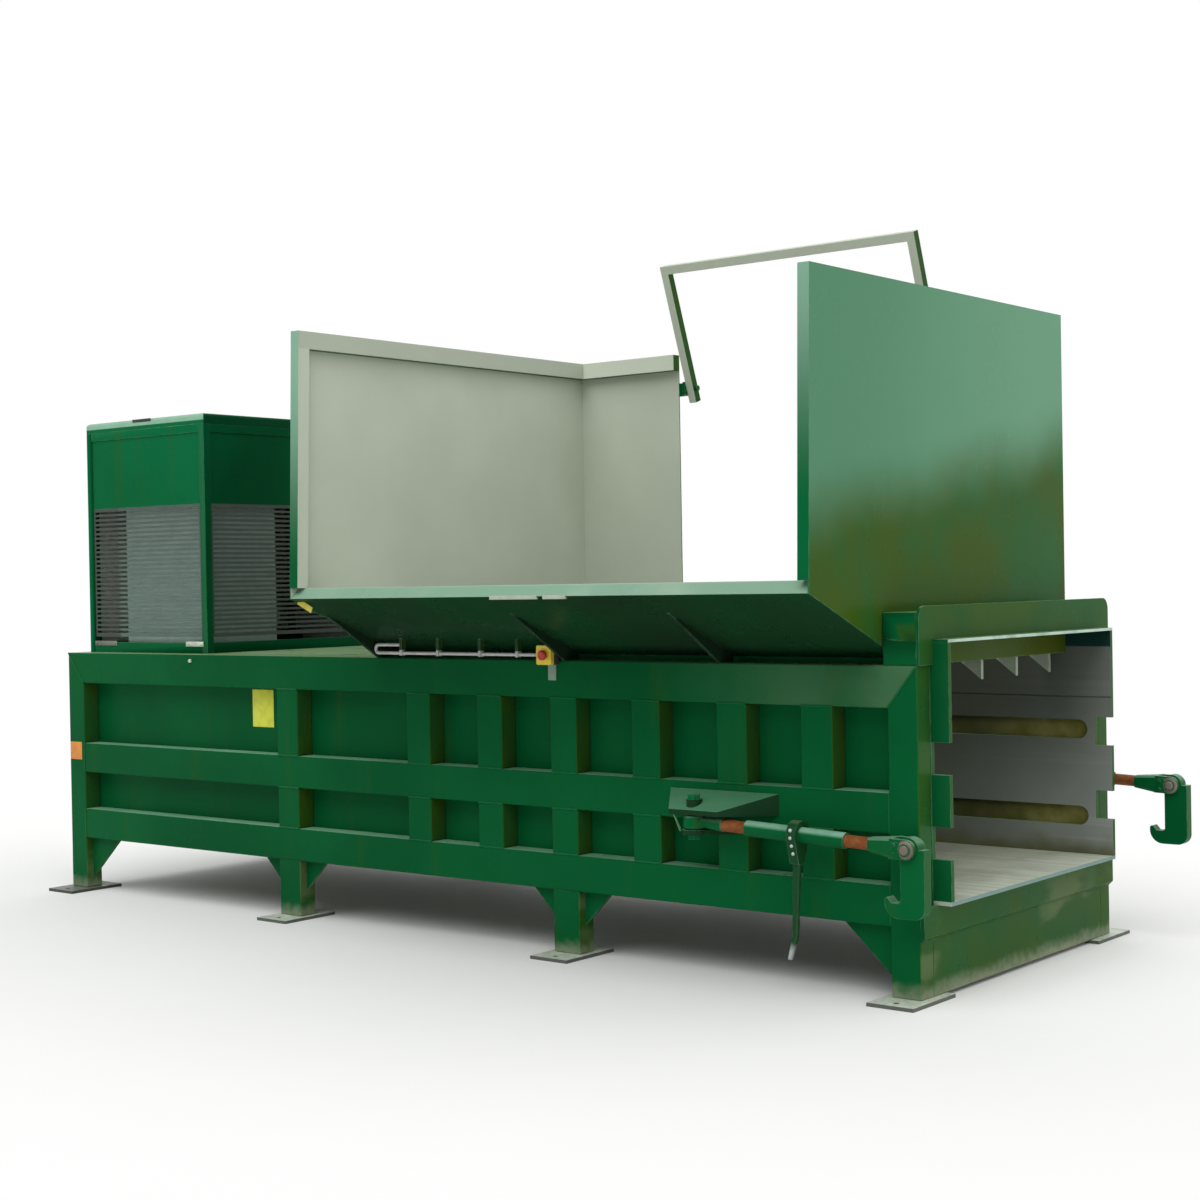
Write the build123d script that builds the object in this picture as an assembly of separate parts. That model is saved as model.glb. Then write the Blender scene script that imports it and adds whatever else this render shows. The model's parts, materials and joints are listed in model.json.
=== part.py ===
from build123d import *
import os
from math import hypot

# A stationary waste compactor: a ram box on four pairs of legs, a loading hopper over its
# feed opening, a power pack on its rear deck and two ratchet binders that pull a waste
# container against the castellated discharge mouth.
# Lengths are millimetres. +X points out of the mouth, -Y is the operator's side, +Z is up.
# The origin lies on the floor, midway between the four corner anchor holes.

# Body frame: rails, posts and legs of rectangular tube, welded shut
body_width = 1716.0
body_height = 1300.0
mid_leg_pitch = 1775.0
end_leg_pitch = 1694.0
end_post_width = 130.0
post_width = 147.0
member_depth = 100.0
top_rail_height = 165.0
mid_rail_level = 649.0
mid_rail_height = 158.0
bottom_rail_level = 290.0
bottom_rail_height = 159.0
second_bay_post_shares = (0.505, 0.755)
third_bay_post_shares = (0.267, 0.528, 0.770)

# Feet and gussets
foot_length = 205.0
foot_depth = 330.0
foot_t = 15.0
foot_overhang = 130.0
anchor_hole_r = 12.0
anchor_hole_inset = 50.0
gusset_t = 12.0
mid_gusset = 150.0
end_gusset_run = 240.0
end_gusset_drop = 220.0

# Chamber: side plates, slotted liners, floor and end plates
side_plate_t = 6.0
liner_t = 22.0
floor_level = 387.0
floor_t = 16.0
bulkhead_t = 25.0
deck_t = 12.0
bearer_width = 80.0
bearer_wall = 8.0
bearer_shares = (-0.9, -0.55, -0.2, 0.2, 0.55, 0.9)
slot_height = 85.0
upper_slot_share = 0.736
lower_slot_share = 0.183
slot_front_gap = 36.0
slot_rear_gap = 40.0
ledge_height = 6.0
ledge_depth = 4.0

# Discharge mouth
tooth_reach = 79.0
notch_height = 125.0
upper_notch_share = 0.483
lower_notch_share = 0.160
mouth_rise = 98.0
mouth_plate_t = 12.0
lintel_t = 12.0
lintel_flange = 120.0
beam_depth = 147.0
beam_height = 205.0
hood_height = 229.0
hood_t = 12.0
hood_corner_r = 50.0
retaining_tooth_count = 5
retaining_tooth_pitch_share = 0.219
retaining_tooth_drop = 85.0
retaining_tooth_length = 110.0
retaining_tooth_t = 20.0
retaining_tooth_setback = 35.0
sill_t = 18.0
sill_height = 135.0
skirt_t = 10.0
skirt_clearance = 3.0

# Hopper
hopper_length = 2781.0
hopper_height = 1505.0
hopper_t = 6.0
front_lean = 37.0
lip_overhang = 520.0
lip_rise = 335.0
lip_fold = 48.0
rear_sill_rise = 288.0
chute_foot_rise = 22.0
wing_length = 645.0
rim_depth = 45.0
rim_band = 80.0
front_band = 65.0
chute_gusset_t = 12.0
chute_gusset_reach = 340.0
chute_gusset_shares = (0.008, 0.42, 0.72)

# Rear hoop
hoop_width = 1455.0
hoop_gap = 75.0
hoop_tube = 42.0
hoop_length = 712.0
hoop_tail = 70.0
hoop_lean = 19.6
hoop_pivot_drop = 180.0
hoop_pin_r = 14.0
hoop_lug_t = 16.0
hoop_lug_r = 34.0
hoop_play = 0.5

# Power pack housing
pack_length = 985.0
pack_height = 1257.0
pack_end_gap = 53.0
pack_setback = 112.0
pack_tube = 42.0
pack_base = 55.0
pack_screen_height = 700.0
pack_screen_gap = 30.0
pack_roof_fascia = 55.0
pack_roof_edge_r = 18.0
pack_roof_t = 4.0
pack_panel_t = 4.0
pack_panel_inset = 6.0
slat_pitch = 25.0
slat_gap = 13.0
screen_border = 14.0

# Power pack contents
tank_length = 672.0
tank_depth = 500.0
tank_height = 790.0
tank_end_gap = 55.0
tank_front_gap = 45.0
tank_corner_r = 25.0
tank_lid = 12.0
motor_r = 115.0
motor_length = 380.0
bell_r = 95.0
bell_length = 110.0
pump_r = 65.0
pump_length = 160.0
motor_gap = 25.0
motor_foot_height = 60.0
motor_foot_width = 180.0
valve_length = 260.0
valve_depth = 140.0
valve_height = 120.0
valve_cap_r = 24.0
valve_cap_length = 70.0
cabinet_length = 500.0
cabinet_depth = 250.0
cabinet_height = 900.0
cabinet_door_t = 18.0
cabinet_door_margin = 20.0

# Ram and its two-stage cylinder
ram_top_gap = 213.0
ram_rear_gap = 62.0
ram_side_clear = 6.0
ram_floor_clear = 12.0
ram_face_t = 30.0
ram_wall = 15.0
ram_face_gap = 4.0
runner_width = 90.0
runner_play = 0.3
shoe_length = 260.0
shoe_play = 1.0
shoe_depth = 18.0
shoe_end_gap = 120.0
scraper_gap = 3.0
barrel_r = 112.0
barrel_bore_r = 92.0
stage_bore_r = 72.0
seal_gap = 0.4
barrel_cap_t = 45.0
cylinder_stickout = 60.0
gland_gap = 130.0
lug_t = 30.0
lug_height = 150.0
lug_reach = 110.0
eye_t = 70.0
eye_r = 60.0
eye_gap = 10.0
cylinder_pin_r = 30.0
pin_play = 0.3

# Emergency stop and its conduit
estop_share = 0.4003
estop_size = 85.0
estop_depth = 55.0
estop_corner_r = 8.0
estop_plate_t = 5.0
estop_plate_width = 44.0
estop_plate_drop = 70.0
estop_rise = 18.0
estop_stem_r = 10.0
estop_cap_r = 22.0
estop_cap_t = 14.0
estop_travel = 6.0
estop_stem_play = 0.3
conduit_r = 8.0
conduit_bend_r = 18.0
conduit_loop_share = 0.0182
conduit_end_share = 0.0778
conduit_straight = 2.0
conduit_clip_shares = (0.1649, 0.2584, 0.3386)
clip_width = 14.0
clip_t = 4.0

# Ratchet binders
binder_x = 1668.0
far_binder_x = 1905.0
binder_level = 655.0
far_binder_rise = 76.0
binder_offset = 110.0
binder_droop = 2.3
binder_eye_r = 46.0
binder_eye_height = 56.0
binder_eye_play = 4.0
binder_bolt_r = 16.0
binder_bolt_play = 0.5
bolt_head_r = 28.0
bolt_head_height = 20.0
bracket_t = 20.0
bracket_rise = 68.0
bracket_tip_r = 50.0
bracket_tip_left = 94.0
bracket_tip_right = 150.0
bolt_boss_r = 32.0
bolt_boss_rise = 6.0
bracket_left_reach = 198.0
bracket_right_reach = 342.0
neck_r = 21.0
neck_end_r = 27.0
rod_collar_x = 145.0
screw_r = 25.0
screw_bare = 117.0
screw_grip = 130.0
turnbuckle_r = 32.0
turnbuckle_length = 461.0
screw_play = 0.5
ratchet_x = 500.0
ratchet_r = 45.0
ratchet_root_r = 39.0
ratchet_width = 24.0
ratchet_teeth = 14
head_r = 56.0
head_wall = 8.0
head_play = 1.0
cheek_drop = 115.0
cheek_low_width = 40.0
handle_t = 20.0
handle_edge = 4.0
handle_top_width = 34.0
handle_low_width = 26.0
handle_straight = 345.0
handle_tip = 100.0
handle_tip_bend = 14.0
handle_tip_width = 16.0
fork_bare = 107.0
fork_root_half = 27.0
fork_root_length = 105.0
fork_edge = 9.0
fork_ear_t = 20.0
fork_ear_r = 38.0
fork_pin_x = 1005.0
fork_throat = 64.0
hook_t = 50.0
hook_play = 0.5
hook_pin_r = 17.0
hook_pin_head_r = 24.0
hook_pin_head_t = 9.0
hook_eye_r = 46.0
hook_front = 70.0
hook_back = 33.0
hook_drop = 265.0
hook_arm = 103.0
hook_arm_t = 58.0
hook_tip_rise = 95.0
hook_tip_t = 30.0
hook_heel_r = 45.0
hook_toe_r = 60.0
hook_throat_r = 14.0
hook_tip_round_r = 9.0

# Places that follow from the sizes above
half_width = body_width / 2
inner_leg_x = mid_leg_pitch / 2
end_leg_x = inner_leg_x + end_leg_pitch
end_x = end_leg_x + end_post_width / 2
post_in_x = end_x - end_post_width
rail_in = half_width - member_depth
plate_in = rail_in - side_plate_t
liner_in = plate_in - liner_t
top_rail_under = body_height - top_rail_height
mid_rail_top = mid_rail_level + mid_rail_height
bottom_rail_top = bottom_rail_level + bottom_rail_height
floor_under = floor_level - floor_t
mouth_x = end_x + tooth_reach
mouth_top = body_height + mouth_rise
mouth_under = mouth_top - mouth_plate_t
beam_back_x = end_x - beam_depth
beam_top = body_height + beam_height
lintel_front_x = beam_back_x + lintel_t
lintel_under = body_height - lintel_t
ram_top = body_height - ram_top_gap
slot_levels = [
    floor_level + share * (ram_top - floor_level) for share in (lower_slot_share, upper_slot_share)
]
inner_rear_x = -end_x + bulkhead_t
post_xs = (
    [-inner_leg_x]
    + [-inner_leg_x + share * mid_leg_pitch for share in second_bay_post_shares]
    + [inner_leg_x]
    + [inner_leg_x + share * end_leg_pitch for share in third_bay_post_shares]
)

# Side of the body, place along it and height of each binder's pivot
binder_places = ((-1, binder_x, binder_level), (1, far_binder_x, binder_level + far_binder_rise))

# The hopper's walls end against the mouth beam
hopper_x1 = beam_back_x
hopper_x0 = hopper_x1 - hopper_length
wall_x0 = hopper_x0 + hopper_t
wall_x1 = hopper_x1 - hopper_t
hopper_top = body_height + hopper_height
hopper_back = rail_in
hopper_back_in = hopper_back - hopper_t
lip_y = -(half_width + lip_overhang)
lip_top = body_height + lip_rise
lip_under = lip_top - lip_fold
chute_foot_z = body_height + chute_foot_rise
chute_slope = (lip_under - chute_foot_z) / (-liner_in - lip_y)


def chute_under(y):
    """Height of the chute's underside at a place across the body."""
    return chute_foot_z + chute_slope * (-liner_in - y)


def outline(*points):
    """A closed flat shape through the points."""
    return make_face(Polyline(*points, close=True))


def along_x(sketch, x0, x1):
    """A bar with a (y, z) section between two places along the body."""
    return Pos(x0, 0, 0) * extrude(Plane.YZ * sketch, amount=x1 - x0, dir=(1, 0, 0))


def along_y(sketch, y0, y1):
    """A plate with an (x, z) outline between two places across the body."""
    return Pos(0, y0, 0) * extrude(Plane.XZ * sketch, amount=y1 - y0, dir=(0, 1, 0))


def along_z(sketch, z0, z1):
    """A plate with an (x, y) outline between two heights."""
    return Pos(0, 0, z0) * extrude(sketch, amount=z1 - z0, dir=(0, 0, 1))


def bar(x0, x1, y0, y1, z0, z1):
    """A square-cut bar or plate between two corners."""
    return Pos((x0 + x1) / 2, (y0 + y1) / 2, (z0 + z1) / 2) * Box(x1 - x0, y1 - y0, z1 - z0)


def rod(r, x0, x1):
    """A round bar along X on the X axis."""
    return along_x(Circle(r), x0, x1)


def turned(*points):
    """A turned piece: (x, radius) points revolved about the X axis."""
    return revolve(outline(*points), axis=Axis.X)


def far(shape):
    """The same piece on the far side of the body."""
    return mirror(shape, about=Plane.XZ)


def pair(shapes):
    """The pieces of the near side and their mirror images on the far side."""
    return list(shapes) + [far(shape) for shape in shapes]


def folded(points, t):
    """Section of a sheet of thickness t that lies on the left of a folded line."""
    units = []
    for (ax, ay), (bx, by) in zip(points, points[1:]):
        run = hypot(bx - ax, by - ay)
        units.append(((bx - ax) / run, (by - ay) / run))
    inner = []
    for i, (px, py) in enumerate(points):
        before = units[max(i - 1, 0)]
        after = units[min(i, len(units) - 1)]
        nx = -(before[1] + after[1])
        ny = before[0] + after[0]
        size = nx * -before[1] + ny * before[0]
        inner.append((px + nx * t / size, py + ny * t / size))
    return outline(*points, *reversed(inner))


def save(node, *shapes):
    """Write the solids of one kind of piece to its own file."""
    solids = [solid for shape in shapes for solid in shape.solids()]
    whole = solids[0] if len(solids) == 1 else Compound(solids)
    export_step(whole, f"parts/{node}.step")


def body_frame():
    """Rails, posts, legs, gussets and feet of both sides."""
    near = (-half_width, -rail_in)
    top_rail = along_y(
        outline(
            (-end_x, body_height),
            (end_x, body_height),
            (post_in_x, top_rail_under),
            (-post_in_x, top_rail_under),
        ),
        *near,
    )
    save("top_rails", *pair([top_rail]))

    lower_rails = [
        bar(-post_in_x, post_in_x, *near, mid_rail_level, mid_rail_top),
        bar(-post_in_x, post_in_x, *near, bottom_rail_level, bottom_rail_top),
    ]
    save("lower_rails", *pair(lower_rails))

    end_post = along_y(
        outline(
            (end_x, body_height),
            (end_x, foot_t),
            (post_in_x, foot_t),
            (post_in_x, top_rail_under),
        ),
        *near,
    )
    save("end_posts", *pair([end_post, mirror(end_post, about=Plane.YZ)]))

    posts = []
    for x in post_xs:
        left = x - post_width / 2
        right = x + post_width / 2
        posts.append(bar(left, right, *near, mid_rail_top, top_rail_under))
        posts.append(bar(left, right, *near, bottom_rail_top, mid_rail_level))
    save("inner_posts", *pair(posts))

    leg_half = post_width / 2
    legs = [
        bar(x - leg_half, x + leg_half, *near, foot_t, bottom_rail_level)
        for x in (-inner_leg_x, inner_leg_x)
    ]
    save("mid_legs", *pair(legs))

    def gusset(face_x, run, drop):
        web = (-half_width + (member_depth - gusset_t) / 2, -rail_in - (member_depth - gusset_t) / 2)
        corner = (face_x, bottom_rail_level)
        return along_y(
            outline(corner, (face_x + run, bottom_rail_level), (face_x, bottom_rail_level - drop)), *web
        )

    gussets = [
        gusset(-post_in_x, end_gusset_run, end_gusset_drop),
        gusset(post_in_x, -end_gusset_run, end_gusset_drop),
    ]
    for x in (-inner_leg_x, inner_leg_x):
        gussets.append(gusset(x - leg_half, -mid_gusset, mid_gusset))
        gussets.append(gusset(x + leg_half, mid_gusset, mid_gusset))
    save("leg_gussets", *pair(gussets))

    foot_y = -(half_width + foot_overhang - foot_depth / 2)
    hole_y = -(half_width + foot_overhang - anchor_hole_inset)
    feet = []
    for x in (-end_leg_x, -inner_leg_x, inner_leg_x, end_leg_x):
        plate = Pos(x, foot_y) * Rectangle(foot_length, foot_depth)
        feet.append(along_z(plate - Pos(x, hole_y) * Circle(anchor_hole_r), 0, foot_t))
    save("foot_plates", *pair(feet))


def chamber():
    """Side plates, slotted liners, floor, bearers, bulkhead and deck."""
    side = bar(-end_x, end_x, -rail_in, -plate_in, bottom_rail_level, body_height)
    save("side_plates", *pair([side]))

    mouth_height = mouth_top - floor_level
    lower_notch = floor_level + lower_notch_share * mouth_height
    upper_notch = floor_level + upper_notch_share * mouth_height
    profile = outline(
        (inner_rear_x, floor_level),
        (mouth_x, floor_level),
        (mouth_x, lower_notch),
        (end_x, lower_notch),
        (end_x, lower_notch + notch_height),
        (mouth_x, lower_notch + notch_height),
        (mouth_x, upper_notch),
        (end_x, upper_notch),
        (end_x, upper_notch + notch_height),
        (mouth_x, upper_notch + notch_height),
        (mouth_x, mouth_under),
        (beam_back_x, mouth_under),
        (beam_back_x, body_height),
        (inner_rear_x, body_height),
    )
    slot_x0 = inner_rear_x + slot_rear_gap
    slot_x1 = end_x - slot_front_gap
    slot = SlotOverall(slot_x1 - slot_x0, slot_height)
    for z in slot_levels:
        profile -= Pos((slot_x0 + slot_x1) / 2, z + slot_height / 2) * slot
    liner = along_y(profile, -plate_in, -liner_in)
    liner -= bar(
        inner_rear_x,
        mouth_x,
        -liner_in - ledge_depth,
        -liner_in,
        ram_top,
        ram_top + ledge_height,
    )
    save("liners", *pair([liner]))

    save("floor_plate", bar(-end_x, mouth_x, -plate_in, plate_in, floor_under, floor_level))

    half = bearer_width / 2
    channel = outline(
        (-half, bottom_rail_level),
        (half, bottom_rail_level),
        (half, bottom_rail_level + bearer_wall),
        (-half + bearer_wall, bottom_rail_level + bearer_wall),
        (-half + bearer_wall, floor_under - bearer_wall),
        (half, floor_under - bearer_wall),
        (half, floor_under),
        (-half, floor_under),
    )
    bearer = along_y(channel, -plate_in, plate_in)
    save("floor_bearers", *[Pos(share * end_x, 0, 0) * bearer for share in bearer_shares])

    save("rear_bulkhead", bar(-end_x, inner_rear_x, -plate_in, plate_in, floor_level, body_height))

    deck_under = body_height - deck_t
    scraper_low = ram_top + scraper_gap
    deck = outline(
        (inner_rear_x, body_height),
        (wall_x0, body_height),
        (wall_x0, scraper_low),
        (wall_x0 - deck_t, scraper_low),
        (wall_x0 - deck_t, deck_under),
        (inner_rear_x, deck_under),
    )
    save("rear_deck", along_y(deck, -liner_in, liner_in))


def mouth():
    """Top plate, lintel, teeth, beam, hood, sill and skirt at the discharge end."""
    save("mouth_top_plate", bar(beam_back_x, mouth_x, -plate_in, plate_in, mouth_under, mouth_top))

    lintel = outline(
        (lintel_front_x, mouth_under),
        (beam_back_x, mouth_under),
        (beam_back_x, body_height),
        (lintel_front_x - lintel_flange, body_height),
        (lintel_front_x - lintel_flange, lintel_under),
        (lintel_front_x, lintel_under),
    )
    save("lintel", along_y(lintel, -liner_in, liner_in))

    tooth_x = lintel_front_x - retaining_tooth_setback
    tooth = along_y(
        outline(
            (tooth_x, lintel_under),
            (tooth_x, lintel_under - retaining_tooth_drop),
            (tooth_x - retaining_tooth_length, lintel_under),
        ),
        -retaining_tooth_t / 2,
        retaining_tooth_t / 2,
    )
    pitch = retaining_tooth_pitch_share * 2 * liner_in
    first = -(retaining_tooth_count - 1) / 2
    save(
        "retaining_teeth",
        *[Pos(0, (first + i) * pitch, 0) * tooth for i in range(retaining_tooth_count)],
    )

    beam_foot = bar(beam_back_x, end_x, -half_width, -plate_in, body_height, mouth_top)
    beam = bar(beam_back_x, end_x, -half_width, half_width, mouth_top, beam_top)
    save("mouth_beam", beam, *pair([beam_foot]))

    hood_top = body_height + hood_height
    hood = outline(
        (-half_width, body_height),
        (-half_width, hood_top),
        (half_width, hood_top),
        (half_width, body_height),
        (plate_in, body_height),
        (plate_in, mouth_top),
        (-plate_in, mouth_top),
        (-plate_in, body_height),
    )
    hood = fillet(hood.vertices().group_by(Axis.Y)[-1], hood_corner_r)
    save("hood_plate", along_x(hood, end_x, end_x + hood_t))

    sill_low = floor_under - sill_height
    sill = outline(
        (end_x, floor_under),
        (end_x + sill_t, floor_under),
        (end_x + sill_t, sill_low + sill_t),
        (end_x, sill_low),
    )
    save("sill", along_y(sill, -half_width, half_width))

    save("skirt", bar(end_x - skirt_t, end_x, -rail_in, rail_in, foot_t + skirt_clearance, bottom_rail_level))


def hopper():
    """Side walls with rims, rear wings, rear sill, front chute and its gussets."""
    front_top_y = lip_y + front_lean
    rim_foot_y = lip_y + front_lean * lip_fold / (hopper_top - lip_under)
    side = outline(
        (hopper_back, body_height),
        (hopper_back, hopper_top),
        (front_top_y, hopper_top),
        (lip_y, lip_under),
        (-liner_in, chute_foot_z),
        (-liner_in, body_height),
    )
    rim = outline(
        (hopper_back_in, hopper_top),
        (front_top_y, hopper_top),
        (rim_foot_y, lip_top),
        (rim_foot_y + front_band, lip_top),
        (front_top_y + front_band, hopper_top - rim_band),
        (hopper_back_in, hopper_top - rim_band),
    )
    save(
        "hopper_left_wall",
        along_x(side, hopper_x0, wall_x0) + along_x(rim, wall_x0, wall_x0 + rim_depth),
    )
    save(
        "hopper_right_wall",
        along_x(side, wall_x1, hopper_x1) + along_x(rim, wall_x1 - rim_depth, wall_x1),
    )

    wing_x1 = wall_x0 + wing_length
    wing_x2 = wing_x1 + hoop_width + 2 * hoop_gap
    rim_in = hopper_back_in - rim_depth
    rim_low = hopper_top - rim_band
    left_wing = bar(wall_x0, wing_x1, hopper_back_in, hopper_back, body_height, hopper_top)
    left_wing += bar(wall_x0 + rim_depth, wing_x1, rim_in, hopper_back_in, rim_low, hopper_top)
    right_wing = bar(wing_x2, wall_x1, hopper_back_in, hopper_back, body_height, hopper_top)
    right_wing += bar(wing_x2, wall_x1 - rim_depth, rim_in, hopper_back_in, rim_low, hopper_top)
    save("hopper_wings", left_wing, right_wing)

    rear_sill_top = body_height + rear_sill_rise
    rear_lip = folded(
        [(hopper_back, body_height), (hopper_back, rear_sill_top), (rim_in, rear_sill_top)],
        hopper_t,
    )
    save("rear_sill", along_x(rear_lip, wing_x1, wing_x2))

    chute = folded(
        [
            (lip_y + lip_fold, lip_top),
            (lip_y, lip_under),
            (-liner_in, chute_foot_z),
            (-liner_in, body_height),
        ],
        hopper_t,
    )
    save("chute", along_x(chute, wall_x0, wall_x1))

    tip_y = -half_width - chute_gusset_reach
    gusset = outline(
        (-rail_in, body_height),
        (-half_width, body_height),
        (tip_y, chute_under(tip_y)),
        (-rail_in, chute_under(-rail_in)),
    )
    gussets = []
    for share in chute_gusset_shares:
        x = wall_x0 + share * (wall_x1 - wall_x0)
        gussets.append(along_x(gusset, x, x + chute_gusset_t))
    save("chute_gussets", *gussets)
    return wing_x1, wing_x2


def rear_hoop(wing_x1, wing_x2):
    """A U-shaped hoop that swings on lugs at the ends of the rear wings."""
    pivot_z = hopper_top - hoop_pivot_drop
    pivot_y = hopper_back - hoop_tube / 2
    leg_x0 = wing_x1 + hoop_gap
    leg_x1 = wing_x2 - hoop_gap
    tube = hoop_tube
    legs = [
        bar(leg_x0, leg_x0 + tube, -tube / 2, tube / 2, -hoop_tail, hoop_length - hoop_tail - tube),
        bar(leg_x1 - tube, leg_x1, -tube / 2, tube / 2, -hoop_tail, hoop_length - hoop_tail - tube),
    ]
    top = bar(leg_x0, leg_x1, -tube / 2, tube / 2, hoop_length - hoop_tail - tube, hoop_length - hoop_tail)
    hoop = top + legs[0] + legs[1]
    hoop -= along_x(Circle(hoop_pin_r + hoop_play), leg_x0, leg_x1)
    hoop = Pos(0, pivot_y, pivot_z) * Rot(hoop_lean, 0, 0) * hoop
    save("rear_hoop", hoop)

    # Each lug is welded to the end of a wing, and its pin reaches through the hoop's leg.
    foot_z = hoop_lug_r
    lug = outline(
        (hopper_back, pivot_z - foot_z),
        (hopper_back, pivot_z + foot_z),
        (pivot_y - hoop_lug_r, pivot_z + foot_z),
        (pivot_y - hoop_lug_r, pivot_z - foot_z),
    )
    lug_x = wing_x1 + hoop_gap - hoop_lug_t - hoop_play
    arm_y0 = hopper_back - hopper_t
    left = along_x(lug, lug_x, lug_x + hoop_lug_t)
    left += bar(wing_x1, lug_x, arm_y0, hopper_back, pivot_z - foot_z, pivot_z + foot_z)
    pin = Pos(0, pivot_y, pivot_z) * along_x(Circle(hoop_pin_r), lug_x, leg_x0 + tube + hoop_lug_t)
    left += pin
    middle = (wing_x1 + wing_x2) / 2
    right = mirror(left, about=Plane.YZ.offset(middle))
    save("hoop_lugs", left, right)


def power_pack():
    """Sheet and tube housing on the rear deck, with the tank, pump set and controls in it."""
    x0 = -end_x + pack_end_gap
    x1 = x0 + pack_length
    y1 = half_width - pack_setback
    y0 = -y1
    z0 = body_height
    z1 = z0 + pack_height
    tube = pack_tube
    eaves = z1 - pack_roof_fascia
    base_top = z0 + pack_base
    screen_low = base_top + pack_screen_gap
    screen_top = screen_low + pack_screen_height

    frame = []
    for x in (x0, x1 - tube):
        for y in (y0, y1 - tube):
            frame.append(bar(x, x + tube, y, y + tube, z0, eaves))
    for y in (y0, y1 - tube):
        frame.append(bar(x0 + tube, x1 - tube, y, y + tube, z0, base_top))
        frame.append(bar(x0 + tube, x1 - tube, y, y + tube, eaves - tube, eaves))
    for x in (x0, x1 - tube):
        frame.append(bar(x, x + tube, y0 + tube, y1 - tube, z0, base_top))
        frame.append(bar(x, x + tube, y0 + tube, y1 - tube, eaves - tube, eaves))
    save("pack_frame", *frame)

    roof = bar(x0, x1, y0, y1, eaves, z1)
    roof = fillet(roof.edges().group_by(Axis.Z)[-1], pack_roof_edge_r)
    roof -= bar(
        x0 + pack_roof_t, x1 - pack_roof_t, y0 + pack_roof_t, y1 - pack_roof_t, eaves, z1 - pack_roof_edge_r
    )
    save("pack_roof", roof)

    # Sheets close the far and rear sides, and stand over the screens of the other two.
    near_y = y0 + pack_panel_inset
    far_y = y1 - pack_panel_inset
    rear_x = x0 + pack_panel_inset
    front_x = x1 - pack_panel_inset
    panel_top = eaves - tube
    save(
        "pack_panels",
        bar(x0 + tube, x1 - tube, near_y, near_y + pack_panel_t, screen_top, panel_top),
        bar(x0 + tube, x1 - tube, far_y - pack_panel_t, far_y, base_top, panel_top),
        bar(rear_x, rear_x + pack_panel_t, y0 + tube, y1 - tube, base_top, panel_top),
        bar(front_x - pack_panel_t, front_x, y0 + tube, y1 - tube, screen_top, panel_top),
    )

    def screen(width):
        """A panel of horizontal slats, drawn as (across, up) about its lower middle."""
        sheet = Pos(0, pack_screen_height / 2) * Rectangle(width, pack_screen_height)
        count = int((pack_screen_height - screen_border) / slat_pitch)
        gap = Rectangle(width - 2 * screen_border, slat_gap)
        gaps = [Pos(0, screen_border + (i + 1 / 2) * slat_pitch) * gap for i in range(count)]
        return sheet - gaps

    side_screen = Pos((x0 + x1) / 2, screen_low) * screen(pack_length - 2 * tube)
    end_screen = Pos(0, screen_low) * screen(y1 - y0 - 2 * tube)
    save(
        "pack_screens",
        along_y(side_screen, near_y, near_y + pack_panel_t),
        along_x(end_screen, front_x - pack_panel_t, front_x),
    )

    tank_x1 = x1 - tank_end_gap
    tank_x0 = tank_x1 - tank_length
    tank_y0 = y0 + tank_front_gap
    tank_y1 = tank_y0 + tank_depth
    tank_top = z0 + tank_height
    tank = bar(tank_x0, tank_x1, tank_y0, tank_y1, z0, tank_top - tank_lid)
    tank = fillet(tank.edges().filter_by(Axis.Z), tank_corner_r)
    lid = bar(tank_x0, tank_x1, tank_y0, tank_y1, tank_top - tank_lid, tank_top)
    save("oil_tank", tank + lid)

    motor_x = x0 + tube + motor_gap
    motor_y = tank_y1 + motor_gap + motor_r
    motor_z = motor_foot_height + motor_r
    motor = turned(
        (0, 0),
        (0, motor_r - motor_foot_height / 2),
        (motor_foot_height / 2, motor_r),
        (motor_length, motor_r),
        (motor_length, 0),
    )
    bell = rod(bell_r, motor_length, motor_length + bell_length)
    pump = rod(pump_r, motor_length + bell_length, motor_length + bell_length + pump_length)
    foot = bar(0, motor_length, -motor_foot_width / 2, motor_foot_width / 2, -motor_z, -motor_r / 2)
    motor = motor + (foot - rod(motor_r, 0, motor_length))
    place = Pos(motor_x, motor_y, z0 + motor_z)
    save("pump_set", place * motor, place * bell, place * pump)

    valve_y = (tank_y0 + tank_y1) / 2
    valve_x = (tank_x0 + tank_x1) / 2
    valve_top = tank_top + valve_height
    valve = bar(
        valve_x - valve_length / 2,
        valve_x + valve_length / 2,
        valve_y - valve_depth / 2,
        valve_y + valve_depth / 2,
        tank_top,
        valve_top,
    )
    for share in (-1, 1):
        spot = Pos(valve_x + share * valve_length / 4, valve_y, valve_top)
        valve += spot * Cylinder(valve_cap_r, valve_cap_length, align=(Align.CENTER, Align.CENTER, Align.MIN))
    save("valve_block", valve)

    cab_x1 = x1 - tank_end_gap
    cab_x0 = cab_x1 - cabinet_length
    cab_y1 = y1 - tank_front_gap - cabinet_door_t
    cab_y0 = cab_y1 - cabinet_depth
    cabinet = bar(cab_x0, cab_x1, cab_y0, cab_y1, z0, z0 + cabinet_height)
    cabinet += bar(
        cab_x0 + cabinet_door_margin,
        cab_x1 - cabinet_door_margin,
        cab_y1,
        cab_y1 + cabinet_door_t,
        z0 + cabinet_door_margin,
        z0 + cabinet_height - cabinet_door_margin,
    )
    save("control_cabinet", cabinet)


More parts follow.
